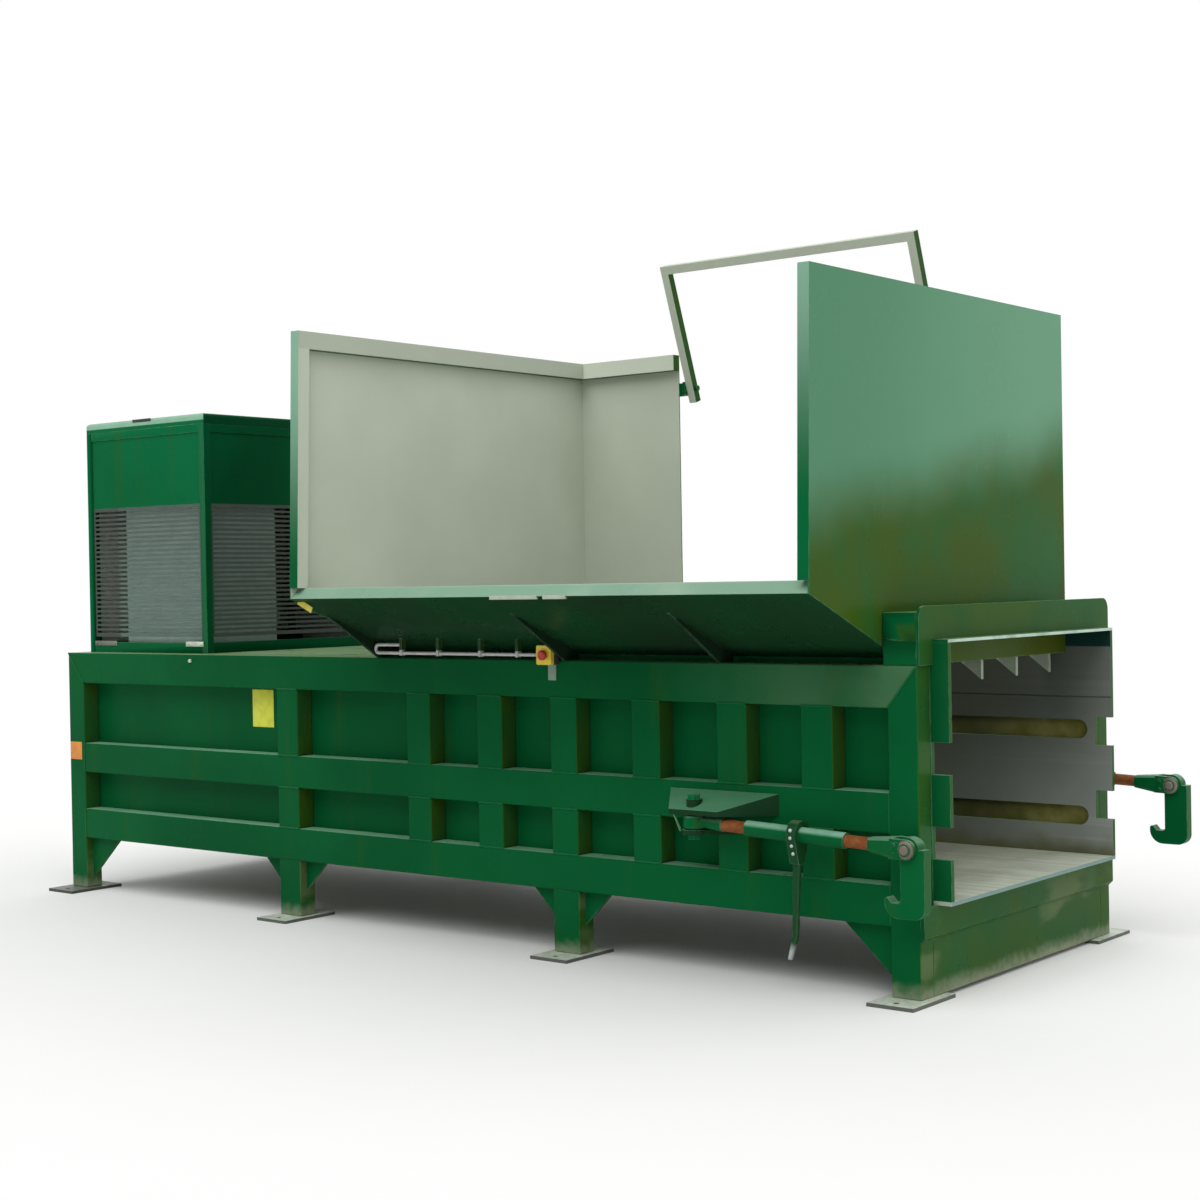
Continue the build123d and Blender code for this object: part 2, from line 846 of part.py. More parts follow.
def ram_drive():
    """Ram, guide shoes and the two-stage cylinder that pushes it."""
    face_x = wall_x0 - ram_face_gap
    rear_x = inner_rear_x + ram_rear_gap
    half = liner_in - ram_side_clear
    low = floor_level + ram_floor_clear
    axis_z = (floor_level + ram_top) / 2
    ram = bar(rear_x, face_x, -half, half, low, ram_top)
    ram -= bar(rear_x, face_x - ram_face_t, -half + ram_wall, half - ram_wall, low, ram_top - ram_wall)
    lug_x1 = face_x - ram_face_t
    lug_y = eye_t / 2 + pin_play

    def lugs(x_weld, x_eye):
        """A pair of lugs with a rounded end about the cross pin."""
        side = Pos(x_eye, axis_z) * Circle(lug_height / 2) + Pos((x_weld + x_eye) / 2, axis_z) * Rectangle(
            abs(x_weld - x_eye), lug_height
        )
        side -= Pos(x_eye, axis_z) * Circle(cylinder_pin_r)
        return [along_y(side, lug_y, lug_y + lug_t), along_y(side, -lug_y - lug_t, -lug_y)]

    front_pin_x = lug_x1 - lug_reach
    rear_pin_x = inner_rear_x + lug_reach
    pin = along_y(Circle(cylinder_pin_r), -lug_y - lug_t, lug_y + lug_t)
    for lug in lugs(lug_x1, front_pin_x):
        ram += lug
    save("ram", ram)
    front_pin = Pos(front_pin_x, 0, axis_z) * pin
    rear_pin = Pos(rear_pin_x, 0, axis_z) * pin

    runners = []
    inner = half - ram_wall
    for y in (-half, inner - runner_width + ram_wall):
        runners.append(bar(rear_x, face_x, y, y + runner_width, floor_level + runner_play, low))
    for x in (rear_x + shoe_end_gap, face_x - shoe_end_gap - shoe_length):
        for z in slot_levels:
            shoe = bar(
                x,
                x + shoe_length,
                -half - ram_side_clear - shoe_depth,
                -half,
                z + shoe_play,
                z + slot_height - shoe_play,
            )
            runners += pair([shoe])
    save("ram_shoes", *runners)

    eye_shank = lug_height / 2 + eye_gap
    barrel_x0 = rear_pin_x + eye_shank
    barrel_x1 = front_pin_x - gland_gap - 2 * cylinder_stickout
    stage_r = barrel_bore_r - seal_gap
    rod_r = stage_bore_r - seal_gap
    eye_hole = Circle(cylinder_pin_r + pin_play)

    def cylinder_eye(x, toward):
        """An eye with its shank, on the cylinder's axis."""
        side = Circle(eye_r) + Pos(toward * eye_shank / 2, 0) * Rectangle(eye_shank, 2 * eye_r)
        return Pos(x, 0, 0) * along_y(side - eye_hole, -eye_t / 2, eye_t / 2)

    lift = Pos(0, 0, axis_z)
    barrel = rod(barrel_r, barrel_x0, barrel_x1)
    barrel -= rod(barrel_bore_r, barrel_x0 + barrel_cap_t, barrel_x1)
    barrel += cylinder_eye(rear_pin_x, 1)
    save("cylinder_barrel", lift * barrel)

    stage_x0 = barrel_x0 + barrel_cap_t + cylinder_stickout
    stage_x1 = barrel_x1 + cylinder_stickout
    stage = rod(stage_r, stage_x0, stage_x1) - rod(stage_bore_r, stage_x0, stage_x1)
    save("cylinder_stage", lift * stage)

    plunger = rod(rod_r, stage_x0 + cylinder_stickout, front_pin_x - eye_shank)
    plunger += cylinder_eye(front_pin_x, -1)
    save("cylinder_rod", lift * plunger, front_pin)

    save("cylinder_anchor", *lugs(inner_rear_x, rear_pin_x), rear_pin)


def emergency_stop():
    """Push-button box on a plate, and the conduit clipped under the chute."""
    def along_chute(share):
        return wall_x0 + share * (wall_x1 - wall_x0)

    estop_x = along_chute(estop_share)
    box_low = body_height - estop_rise
    box_z = box_low + estop_size / 2
    plate_y = -half_width - estop_plate_t
    front_y = plate_y - estop_depth
    half = estop_size / 2
    box = bar(estop_x - half, estop_x + half, front_y, plate_y, box_low, box_low + estop_size)
    box = fillet(box.edges().filter_by(Axis.Y), estop_corner_r)
    stem = Pos(estop_x, 0, box_z)
    box -= stem * along_y(Circle(estop_stem_r + estop_stem_play), front_y, plate_y)
    save("estop_box", box)

    plate_half = estop_plate_width / 2
    save(
        "estop_plate",
        bar(
            estop_x - plate_half,
            estop_x + plate_half,
            plate_y,
            -half_width,
            box_low - estop_plate_drop,
            body_height,
        ),
    )

    cap_back = front_y - estop_travel - estop_stem_play
    cap = stem * along_y(Circle(estop_cap_r), cap_back - estop_cap_t, cap_back)
    cap = chamfer(cap.edges().group_by(Axis.Y)[0], estop_cap_t / 3)
    shank = stem * along_y(Circle(estop_stem_r), cap_back, plate_y - estop_travel - estop_stem_play)
    save("estop_button", cap + shank)

    loop_x = along_chute(conduit_loop_share)
    tail_x = along_chute(conduit_end_share)
    line_y = plate_y - estop_depth / 2
    loop_rise = 2 * conduit_bend_r + conduit_straight
    low = box_z
    high = low + loop_rise
    start = estop_x - half
    path = FilletPolyline(
        (start, line_y, low),
        (loop_x, line_y, low),
        (loop_x, line_y, high),
        (tail_x, line_y, high),
        radius=conduit_bend_r,
    )
    save("conduit", sweep(Plane((start, line_y, low), z_dir=(-1, 0, 0)) * Circle(conduit_r), path))

    def clip(x, z_low):
        """A strap round the conduit that hangs from the chute's underside."""
        half_strap = conduit_r + clip_t
        strap = outline(
            (line_y - half_strap, z_low - half_strap),
            (line_y + half_strap, z_low - half_strap),
            (line_y + half_strap, chute_under(line_y + half_strap)),
            (line_y - half_strap, chute_under(line_y - half_strap)),
        )
        strap -= Pos(line_y, low) * Circle(conduit_r)
        return along_x(strap, x - clip_width / 2, x + clip_width / 2)

    clips = [clip(along_chute(share), low) for share in conduit_clip_shares]
    end_clip = clip(tail_x + clip_width / 2, low)
    save("conduit_clips", *clips, end_clip)


def binder(prefix, pivot_x, level, side):
    """One ratchet binder, drawn on the near side about its pivot with its screw along X."""
    place = Pos(pivot_x, -half_width - binder_offset, level) * Rot(0, binder_droop, 0)

    def put(node, *shapes):
        placed = [place * shape for shape in shapes]
        save(f"{prefix}_{node}", *(placed if side < 0 else [far(shape) for shape in placed]))

    half_eye = binder_eye_height / 2
    screw_x0 = rod_collar_x
    tube_x0 = rod_collar_x + screw_bare
    tube_x1 = tube_x0 + turnbuckle_length
    fork_x0 = tube_x1 + fork_bare

    # Forged eye: a turned neck swells into the flat eye, and its screw enters the tube.
    neck = turned(
        (0, 0),
        (0, neck_r),
        (binder_eye_r + neck_r, neck_r),
        (screw_x0 - neck_r, neck_end_r),
        (screw_x0, neck_end_r),
        (screw_x0, screw_r),
        (tube_x0 + screw_grip, screw_r),
        (tube_x0 + screw_grip, 0),
    )
    eye = along_z(Circle(binder_eye_r), -half_eye, half_eye)
    eye = chamfer(eye.edges(), half_eye / 4)
    upright = Rot(0, -binder_droop, 0)
    bolt_hole = along_z(Circle(binder_bolt_r + binder_bolt_play), -binder_eye_height, binder_eye_height)
    eye_rod = neck + eye - upright * bolt_hole
    put("eye_rod", eye_rod)

    # Turnbuckle tube with the ratchet wheel it carries
    bore_r = screw_r + screw_play
    wheel_x0 = ratchet_x - ratchet_width / 2
    wheel_x1 = ratchet_x + ratchet_width / 2
    step = 360 / ratchet_teeth
    rim = []
    for i in range(ratchet_teeth):
        rim.append(Vector(ratchet_r, 0).rotate(Axis.Z, i * step))
        rim.append(Vector(ratchet_root_r, 0).rotate(Axis.Z, i * step + step / 4))
    wheel = along_x(outline(*[(v.X, v.Y) for v in rim]), wheel_x0, wheel_x1)
    tube = turned(
        (tube_x0, bore_r),
        (tube_x0, turnbuckle_r - screw_play),
        (tube_x0 + (turnbuckle_r - bore_r), turnbuckle_r),
        (tube_x1 - (turnbuckle_r - bore_r), turnbuckle_r),
        (tube_x1, turnbuckle_r - screw_play),
        (tube_x1, bore_r),
    )
    wheel -= rod(bore_r, wheel_x0, wheel_x1)
    put("turnbuckle", tube + wheel)

    # Ratchet head: cheeks close round the wheel and taper down to the lever.
    inside = ratchet_width / 2 + head_play
    outside = inside + head_wall
    cheek = Circle(head_r) + outline(
        (-head_r, 0),
        (head_r, 0),
        (cheek_low_width / 2, -cheek_drop),
        (-cheek_low_width / 2, -cheek_drop),
    )
    head = along_x(cheek, ratchet_x - outside, ratchet_x + outside)
    head -= rod(turnbuckle_r + head_play, ratchet_x - outside, ratchet_x + outside)
    head -= rod(ratchet_r + head_play, ratchet_x - inside, ratchet_x + inside)
    bend_z = -head_r - handle_straight
    bend = Vector(0, -handle_tip).rotate(Axis.Z, -handle_tip_bend)
    lever = along_y(
        outline(
            (-handle_top_width / 2, -head_r),
            (handle_top_width / 2, -head_r),
            (handle_low_width / 2, bend_z),
            (bend.X + handle_tip_width / 2, bend_z + bend.Y),
            (bend.X - handle_tip_width / 2, bend_z + bend.Y),
            (-handle_low_width / 2, bend_z),
        ),
        -handle_t / 2,
        handle_t / 2,
    )
    lever = chamfer(lever.edges().filter_by(Axis.Y, reverse=True), handle_edge)
    put("handle", head + Pos(ratchet_x, 0, 0) * lever)

    # Forged fork: its screw enters the tube, and its two ears carry the hook's pin.
    throat_half = hook_t / 2 + hook_play
    ear_out = throat_half + fork_ear_t
    root_x1 = fork_x0 + fork_root_length
    throat_x = fork_pin_x - fork_throat
    screw = rod(screw_r, tube_x1 - screw_grip, fork_x0)

    def taper(half):
        """A flat shape that widens from the screw's end to the ears."""
        return outline(
            (fork_x0, -fork_root_half), (root_x1, -half), (root_x1, half), (fork_x0, fork_root_half)
        )

    root = along_y(taper(fork_ear_r), -ear_out, ear_out) & along_z(taper(ear_out), -fork_ear_r, fork_ear_r)
    root = chamfer(root.edges().filter_by(lambda edge: abs(edge.tangent_at(0).X) > 1 / 2), fork_edge)
    ear_side = Pos((root_x1 + fork_pin_x) / 2, 0) * Rectangle(fork_pin_x - root_x1, 2 * fork_ear_r)
    ear_side += Pos(fork_pin_x, 0) * Circle(fork_ear_r)
    fork = along_y(ear_side, -ear_out, ear_out) + root + screw
    fork -= bar(
        throat_x, fork_pin_x + 2 * fork_ear_r, -throat_half, throat_half, -2 * fork_ear_r, 2 * fork_ear_r
    )
    pin_at = Pos(fork_pin_x, 0, 0)
    fork -= pin_at * along_y(Circle(hook_pin_r), -ear_out, ear_out)
    pin = along_y(Circle(hook_pin_r), -ear_out, ear_out)
    pin += along_y(Circle(hook_pin_head_r), -ear_out - hook_pin_head_t, -ear_out)
    pin += along_y(Circle(hook_pin_head_r), ear_out, ear_out + hook_pin_head_t)
    put("fork", fork, pin_at * pin)

    # Hook: a flat J that hangs from the pin with its tip turned back toward the pivot
    shank = outline(
        (hook_front, 0),
        (hook_front, -hook_drop),
        (-hook_arm, -hook_drop),
        (-hook_arm, -hook_drop + hook_tip_rise),
        (-hook_arm + hook_tip_t, -hook_drop + hook_arm_t),
        (-hook_back, -hook_drop + hook_arm_t),
        (-hook_back, 0),
    )
    corners = [
        ((hook_front, -hook_drop), hook_heel_r),
        ((-hook_arm, -hook_drop), hook_toe_r),
        ((-hook_back, -hook_drop + hook_arm_t), hook_throat_r),
        ((-hook_arm, -hook_drop + hook_tip_rise), hook_tip_round_r),
    ]
    for corner, r in corners:
        shank = fillet(shank.vertices().sort_by_distance(corner)[0], r)
    hook = shank + Circle(hook_eye_r) - Circle(hook_pin_r + hook_play)
    hook = upright * along_y(hook, -hook_t / 2, hook_t / 2)
    put("hook", pin_at * hook)


def binder_mountings():
    """Welded brackets and pivot bolts of both binders."""
    half_eye = binder_eye_height / 2 + binder_eye_play
    post_x = post_xs[-2]
    bolt_y = -half_width - binder_offset
    tip_y = bolt_y - bracket_tip_r
    brackets = []
    bolts = []
    for side, x, level in binder_places:
        upper_z = level + half_eye
        lower_z = level - half_eye

        # The upper bracket is a box that slopes down from the rail, with a boss for the bolt's head.
        plan = outline(
            (x - bracket_left_reach, -half_width),
            (x + bracket_right_reach, -half_width),
            (x + bracket_tip_right, tip_y),
            (x - bracket_tip_left, tip_y),
        )
        slope = outline(
            (-half_width, upper_z),
            (-half_width, upper_z + bracket_t + bracket_rise),
            (tip_y, upper_z + bracket_t),
            (tip_y, upper_z),
        )
        upper = along_z(plan, upper_z, upper_z + bracket_t + bracket_rise)
        upper &= along_x(slope, x - bracket_left_reach, x + bracket_right_reach)
        uphill_share = (bracket_tip_r + bolt_boss_r) / (binder_offset + bracket_tip_r)
        bolt_top = upper_z + bracket_t + uphill_share * bracket_rise + bolt_boss_rise
        upper += along_z(Pos(x, bolt_y) * Circle(bolt_boss_r), upper_z, bolt_top)
        upper -= along_z(Pos(x, bolt_y) * Circle(binder_bolt_r), upper_z, bolt_top)

        lower = outline(
            (post_x - post_width / 2, -half_width),
            (post_x + post_width / 2, -half_width),
            (x + bracket_tip_r, bolt_y),
            (x - bracket_tip_r, bolt_y),
        )
        lower += Pos(x, bolt_y) * Circle(bracket_tip_r)
        lower -= Pos(x, bolt_y) * Circle(binder_bolt_r)
        bolt_low = lower_z - bracket_t
        lower = along_z(lower, bolt_low, lower_z)

        bolt = along_z(Circle(binder_bolt_r), bolt_low - bolt_head_height, bolt_top)
        bolt += along_z(RegularPolygon(bolt_head_r, 6), bolt_top, bolt_top + bolt_head_height)
        bolt += along_z(RegularPolygon(bolt_head_r, 6), bolt_low - bolt_head_height, bolt_low)
        bolt = Pos(x, bolt_y, 0) * bolt
        brackets += [upper, lower] if side < 0 else [far(upper), far(lower)]
        bolts.append(bolt if side < 0 else far(bolt))
    save("binder_brackets", *brackets)
    save("binder_bolts", *bolts)


os.makedirs("parts", exist_ok=True)
body_frame()
chamber()
mouth()
rear_hoop(*hopper())
power_pack()
ram_drive()
emergency_stop()
for side, x, level in binder_places:
    binder("near" if side < 0 else "far", x, level, side)
binder_mountings()
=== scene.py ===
import json
import math

import bmesh
import bpy
from mathutils import Matrix, Vector


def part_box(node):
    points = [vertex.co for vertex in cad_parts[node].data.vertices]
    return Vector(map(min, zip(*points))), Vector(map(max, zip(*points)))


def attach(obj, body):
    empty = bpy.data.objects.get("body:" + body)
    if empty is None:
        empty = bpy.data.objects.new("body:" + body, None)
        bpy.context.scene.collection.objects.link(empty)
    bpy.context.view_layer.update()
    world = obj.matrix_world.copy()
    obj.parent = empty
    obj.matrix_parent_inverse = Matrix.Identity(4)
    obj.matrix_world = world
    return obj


# Looks of a stationary waste compactor, in metres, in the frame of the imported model.
# +X points out of the discharge mouth, -Y is the operator's side, +Z is up.
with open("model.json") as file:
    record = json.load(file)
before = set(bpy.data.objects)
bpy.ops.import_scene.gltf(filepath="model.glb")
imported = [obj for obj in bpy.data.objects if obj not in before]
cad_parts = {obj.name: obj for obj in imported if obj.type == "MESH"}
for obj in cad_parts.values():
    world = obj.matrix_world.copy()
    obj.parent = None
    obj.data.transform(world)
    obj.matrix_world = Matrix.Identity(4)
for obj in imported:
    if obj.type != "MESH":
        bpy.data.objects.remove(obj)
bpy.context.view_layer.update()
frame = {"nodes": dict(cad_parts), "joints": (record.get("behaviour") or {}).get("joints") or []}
nodes = frame["nodes"]
scene = bpy.context.scene
STATIC = "compactor"

# Paint and metal colours, linear
GREEN = (0.0028, 0.104, 0.029)
GREEN_DEEP = (0.0018, 0.078, 0.0215)
GREEN_FRESH = (0.0026, 0.140, 0.048)
# Olive of streaks, and of the painted reflection on faces that look out of the mouth
OLIVE = (0.043, 0.084, 0.004)
SLOT_OLIVE = (0.080, 0.078, 0.016)
# Pale mint of worn edges and of painted highlights
MINT = (0.27, 0.47, 0.35)
LEDGE = (0.26, 0.38, 0.20)
# Ledge tops painted light
LEDGE_LIGHT = (0.28, 0.56, 0.36)
# Dark grime, also used as painted shade under the chute and on the bracket sides
GRIME_AND_SHADE = (0.012, 0.030, 0.014)
LINING = (0.56, 0.61, 0.505)
LINING_SHADE = (0.50, 0.55, 0.445)
DUST = (0.40, 0.41, 0.30)
RUST = (0.30, 0.085, 0.028)
STEEL = (0.42, 0.44, 0.43)
LOW_DUST = (0.14, 0.185, 0.085)
# Painted reflection of the sky on the right wall's outside
SKY_REFLECTION = (0.088, 0.235, 0.135)
SKY_REFLECTION_PALE = (0.135, 0.305, 0.185)
LINER_GREY = (0.26, 0.29, 0.265)
LINER_PALE = (0.33, 0.36, 0.33)
LINER_MARK = (0.39, 0.42, 0.385)
# Liners darkening toward the chamber's rear: dirt and painted shade
LINER_DIRT_AND_SHADE = (0.055, 0.066, 0.050)
# Dark green high on the liners, deepened as painted shade
LINER_TOP = (0.008, 0.035, 0.030)
# Painted shade high in the chamber
LINER_SHADE_TONE = (0.022, 0.027, 0.016)
FLOOR_GREY = (0.46, 0.50, 0.405)
FLOOR_RUBBED = (0.60, 0.645, 0.53)
FLOOR_STAIN = (0.22, 0.21, 0.13)
# Floor darkening toward the chamber's rear: dirt and painted shade
FLOOR_DIRT_AND_SHADE = (0.11, 0.115, 0.08)
FLOOR_EDGE = (0.16, 0.26, 0.235)
WASTE = (0.13, 0.125, 0.03)
WASTE_PALE = (0.22, 0.205, 0.075)
# Dark old waste, and painted shade toward the rear
WASTE_DARK_AND_SHADE = (0.03, 0.034, 0.016)
STEEL_STAIN = (0.20, 0.17, 0.10)
RAM_STEEL = (0.22, 0.24, 0.21)
VALVE_STEEL = (0.40, 0.41, 0.41)
STUD_STEEL = (0.62, 0.64, 0.62)
ZINC = (0.50, 0.56, 0.47)
ZINC_PALE = (0.66, 0.72, 0.62)
# Zinc darker toward the rear
ZINC_DARK = (0.10, 0.10, 0.08)
# Painted shade on the sides of the foot plates
ZINC_SIDE_SHADE = (0.035, 0.045, 0.035)
STRAP_ZINC = (0.42, 0.43, 0.42)
STRAP_PALE = (0.55, 0.56, 0.55)
CHROME = (0.62, 0.63, 0.64)
CHROME_PALE = (0.78, 0.79, 0.80)
GREASE = (0.34, 0.13, 0.05)
# Painted highlight on the chute's folded lip
LIP_HIGHLIGHT = (0.215, 0.365, 0.26)
# Painted light along the roof's eaves
EAVES_LIGHT = (0.275, 0.50, 0.36)
# Painted light on the top rail toward the mouth
RAIL_LIGHT = (0.16, 0.26, 0.15)
MOUTH_EDGE = (0.50, 0.64, 0.55)
PACK_INSIDE = (0.55, 0.57, 0.50)
# Screen slats in painted shade, and in painted light in front of the tank
SLAT_SHADED = (0.055, 0.066, 0.056)
SLAT_LIT = (0.105, 0.165, 0.138)
SLAT_MARK = (0.05, 0.07, 0.06)
LID_YELLOW = (0.80, 0.62, 0.045)
LID_SHADE = (0.68, 0.50, 0.03)
BASE_GREY = (0.035, 0.04, 0.035)
BASE_PALE = (0.05, 0.055, 0.05)
# Painted highlight along the top of the binders' tubes
TUBE_HIGHLIGHT = (0.30, 0.57, 0.42)
PIN_STEEL = (0.20, 0.15, 0.135)
STAY_GREEN = (0.10, 0.22, 0.09)
STAY_SHADE = (0.07, 0.17, 0.06)
# Tint of what gloss green paint mirrors
GREEN_SHEEN = (0.15, 1.0, 0.38)


class Nodes:
    """A node tree, with a short call for each kind of node that is used here."""

    def __init__(self, tree):
        self.tree = tree
        self.tree.nodes.clear()

    def add(self, kind, operation=None):
        """A new node, set to an operation where it has one."""
        node = self.tree.nodes.new(kind)
        if operation:
            node.operation = operation
        return node

    def feed(self, socket, value):
        """Link a socket to an output, or set a plain value on it."""
        if isinstance(value, bpy.types.NodeSocket):
            self.tree.links.new(value, socket)
        elif isinstance(value, tuple) and socket.type == "RGBA":
            socket.default_value = (*value, 1.0)
        else:
            socket.default_value = value

    def math(self, operation, a, b=0.0, clamp=False):
        node = self.add("ShaderNodeMath", operation)
        node.use_clamp = clamp
        self.feed(node.inputs[0], a)
        self.feed(node.inputs[1], b)
        return node.outputs[0]

    def times(self, a, b):
        return self.math("MULTIPLY", a, b)

    def dot(self, a, b):
        """Dot product of two vectors."""
        node = self.add("ShaderNodeVectorMath", "DOT_PRODUCT")
        self.feed(node.inputs[0], a)
        self.feed(node.inputs[1], b)
        return node.outputs["Value"]

    def part(self, vector, axis):
        """One component of a vector."""
        node = self.add("ShaderNodeSeparateXYZ")
        self.feed(node.inputs[0], vector)
        return node.outputs["XYZ".index(axis)]

    def span(self, value, low, high, to_low=0.0, to_high=1.0):
        """Smooth change from to_low to to_high as value goes from low to high."""
        node = self.add("ShaderNodeMapRange")
        node.interpolation_type = "SMOOTHSTEP"
        self.feed(node.inputs["Value"], value)
        self.feed(node.inputs["From Min"], low)
        self.feed(node.inputs["From Max"], high)
        self.feed(node.inputs["To Min"], to_low)
        self.feed(node.inputs["To Max"], to_high)
        return node.outputs["Result"]

    def mix(self, share, a, b):
        """Colour that goes from a to b as share goes from 0 to 1."""
        node = self.add("ShaderNodeMix")
        node.data_type = "RGBA"
        self.feed(node.inputs["Factor"], share)
        self.feed(node.inputs[6], a)
        self.feed(node.inputs[7], b)
        return node.outputs[2]


class Graph(Nodes):
    """The node tree of one material, around its shader."""

    def __init__(self, name):
        self.material = bpy.data.materials.new(name)
        self.material.use_nodes = True
        super().__init__(self.material.node_tree)
        self.shader = self.add("ShaderNodeBsdfPrincipled")
        self.output = self.add("ShaderNodeOutputMaterial")
        self.feed(self.output.inputs["Surface"], self.shader.outputs["BSDF"])
        coordinates = self.add("ShaderNodeTexCoord")
        self.place = coordinates.outputs["Object"]
        self.normal = coordinates.outputs["Normal"]

    def set(self, **values):
        """Set or link sockets of the shader, named with underscores."""
        for name, value in values.items():
            self.feed(self.shader.inputs[name.replace("_", " ")], value)

    def at(self, axis):
        """Place along an axis."""
        return self.part(self.place, axis)

    def toward(self, axis):
        """How far a face looks along an axis, from -1 to 1."""
        return self.part(self.normal, axis)

    def stretched(self, scale):
        """Object coordinates with each axis scaled."""
        node = self.add("ShaderNodeMapping")
        self.feed(node.inputs["Vector"], self.place)
        self.feed(node.inputs["Scale"], scale)
        return node.outputs["Vector"]

    def noise(self, scale, detail=3.0, stretch=None):
        node = self.add("ShaderNodeTexNoise")
        self.feed(node.inputs["Vector"], self.stretched(stretch) if stretch else self.place)
        self.feed(node.inputs["Scale"], scale)
        self.feed(node.inputs["Detail"], detail)
        return node.outputs["Fac"]

    def cloud(self, scale, detail, low, high, to_low=0.0, to_high=1.0, stretch=None):
        """Noise of a scale and detail, spread from its levels low and high."""
        return self.span(self.noise(scale, detail, stretch), low, high, to_low, to_high)

    def rounded(self, radius):
        """The normal of a piece as if its edges were rounded."""
        bevel = self.add("ShaderNodeBevel")
        bevel.samples = 4
        self.feed(bevel.inputs["Radius"], radius)
        return bevel.outputs["Normal"]

    def edges(self, radius):
        """1 on the edges of a piece, 0 on its faces."""
        geometry = self.add("ShaderNodeNewGeometry")
        return self.span(self.dot(self.rounded(radius), geometry.outputs["Normal"]), 0.97, 0.80)

    def bump(self, height, strength, distance, before=None):
        """A normal bent by a height, on top of a normal from before."""
        node = self.add("ShaderNodeBump")
        self.feed(node.inputs["Strength"], strength)
        self.feed(node.inputs["Distance"], distance)
        self.feed(node.inputs["Height"], height)
        if before is not None:
            self.feed(node.inputs["Normal"], before)
        return node.outputs["Normal"]


# Height above the floor to which the legs carry splashed dust, where it is full, and its waves
SPLASH = 0.055
SPLASH_FULL = -0.03
SPLASH_WAVES = -0.07
# Heights between which dust begins on the faces that look out of the mouth
LOW_DUST_Z = (0.42, 0.26)
# Half the depth over which one paint turns into another
PAINT_BLUR = 0.004
# Radius of rounded edges, and of the pale line along them, which is wear and a painted highlight
EDGE_ROUND = 0.003
EDGE_LINE = 0.005


def facing(g, axis, sign=1):
    """1 on faces that look along an axis."""
    return g.span(g.times(g.toward(axis), sign), 0.35, 0.65)


def facing_in(g):
    """1 on faces that look toward the body's middle plane."""
    return g.span(g.times(g.at("Y"), g.toward("Y")), -0.05, -0.4)


def paint_colour(g, base, deep, ledge_dust_and_light=0.5, reflection_share=0.75, ledge=LEDGE):
    """Gloss paint: clouded colour, olive ends that are a painted reflection, ledges paler with dust and
    painted light, splashed feet, and lighter edges that are worn and carry a painted highlight.
    """
    clouds = g.cloud(0.9, 4.0, 0.35, 0.68)
    colour = g.mix(clouds, deep, base)
    streaks = g.cloud(1.0, 5.0, 0.56, 0.80, 0.0, 0.28, stretch=(9.0, 9.0, 0.7))
    colour = g.mix(streaks, colour, OLIVE)
    # Faces that look out of the mouth turn olive: a painted reflection of the ground
    ends = g.times(facing(g, "X"), g.cloud(2.2, 3.0, 0.35, 0.65, 0.45 * reflection_share, reflection_share))
    colour = g.mix(ends, colour, OLIVE)
    low = g.span(g.at("Z"), *LOW_DUST_Z)
    low = g.times(low, g.cloud(1.0, 3.0, 0.50, 0.62, 0.0, 0.5, stretch=(2.0, 2.0, 5.0)))
    colour = g.mix(g.times(facing(g, "X"), low), colour, LOW_DUST)
    # Up-facing ledges: dust, and on the lower rails and brackets a pale mint that is painted top light
    up = g.span(g.toward("Z"), 0.75, 0.95)
    patchy = g.cloud(3.0, 9.0, 0.25, 0.75, 0.70, 0.94)
    dust_and_light = g.times(g.times(up, patchy), ledge_dust_and_light)
    colour = g.mix(dust_and_light, colour, ledge)
    ragged = g.math("ADD", g.at("Z"), g.times(g.noise(22.0, 4.0), SPLASH_WAVES))
    colour = g.mix(g.span(ragged, SPLASH, SPLASH_FULL, 0.0, 0.5), colour, DUST)
    # Pale edges: wear, and a painted highlight along them
    worn = g.times(g.edges(EDGE_LINE), g.cloud(14.0, 4.0, 0.35, 0.65, 0.10, 0.55))
    return g.mix(worn, colour, MINT)


def paint_bump(g):
    """Orange peel on slightly wavy sheet with rounded edges."""
    waves = g.bump(g.noise(1.6, 1.0), 0.3, 0.012, g.rounded(EDGE_ROUND))
    return g.bump(g.noise(260.0, 2.0), 0.05, 0.0012, waves)


def paint_finish(g, gloss=0.26, mirror=0.05):
    """Uneven gloss of sprayed steel, the last step of its material."""
    smudges = g.cloud(5.0, 8.0, 0.3, 0.75, gloss, gloss + 0.1)
    g.set(Roughness=smudges, Normal=paint_bump(g), Specular_IOR_Level=mirror, Specular_Tint=GREEN_SHEEN)
    return g.material


def green_paint(name, base=GREEN, deep=GREEN_DEEP, gloss=0.26, ledge_dust_and_light=0.5, reflection_share=0.75, ledge=LEDGE):
    """Plain gloss paint."""
    g = Graph(name)
    g.set(Base_Color=paint_colour(g, base, deep, ledge_dust_and_light, reflection_share, ledge))
    return paint_finish(g, gloss)


def lining_colour(g):
    """Pale lining paint with faint runs and rubbed patches."""
    clouds = g.cloud(1.3, 4.0, 0.35, 0.7)
    colour = g.mix(clouds, LINING_SHADE, LINING)
    rubbed = g.cloud(3.0, 6.0, 0.60, 0.78, 0.0, 0.25, stretch=(1.0, 1.0, 0.35))
    return g.mix(rubbed, colour, DUST)


# Heights between which the front edges of the hopper's walls turn from green to pale
LEFT_EDGE_TURN = (1.70, 2.70)
RIGHT_EDGE_TURN = (1.90, 3.00)
FRONT_EDGE_PALE = 0.9
# Depth of the hopper's rim, and its tone on the wings and on the left wall
RIM_BAND = 0.080
WING_RIM = (0.80, 0.86, 0.72)
WALL_RIM = (0.34, 0.37, 0.30)


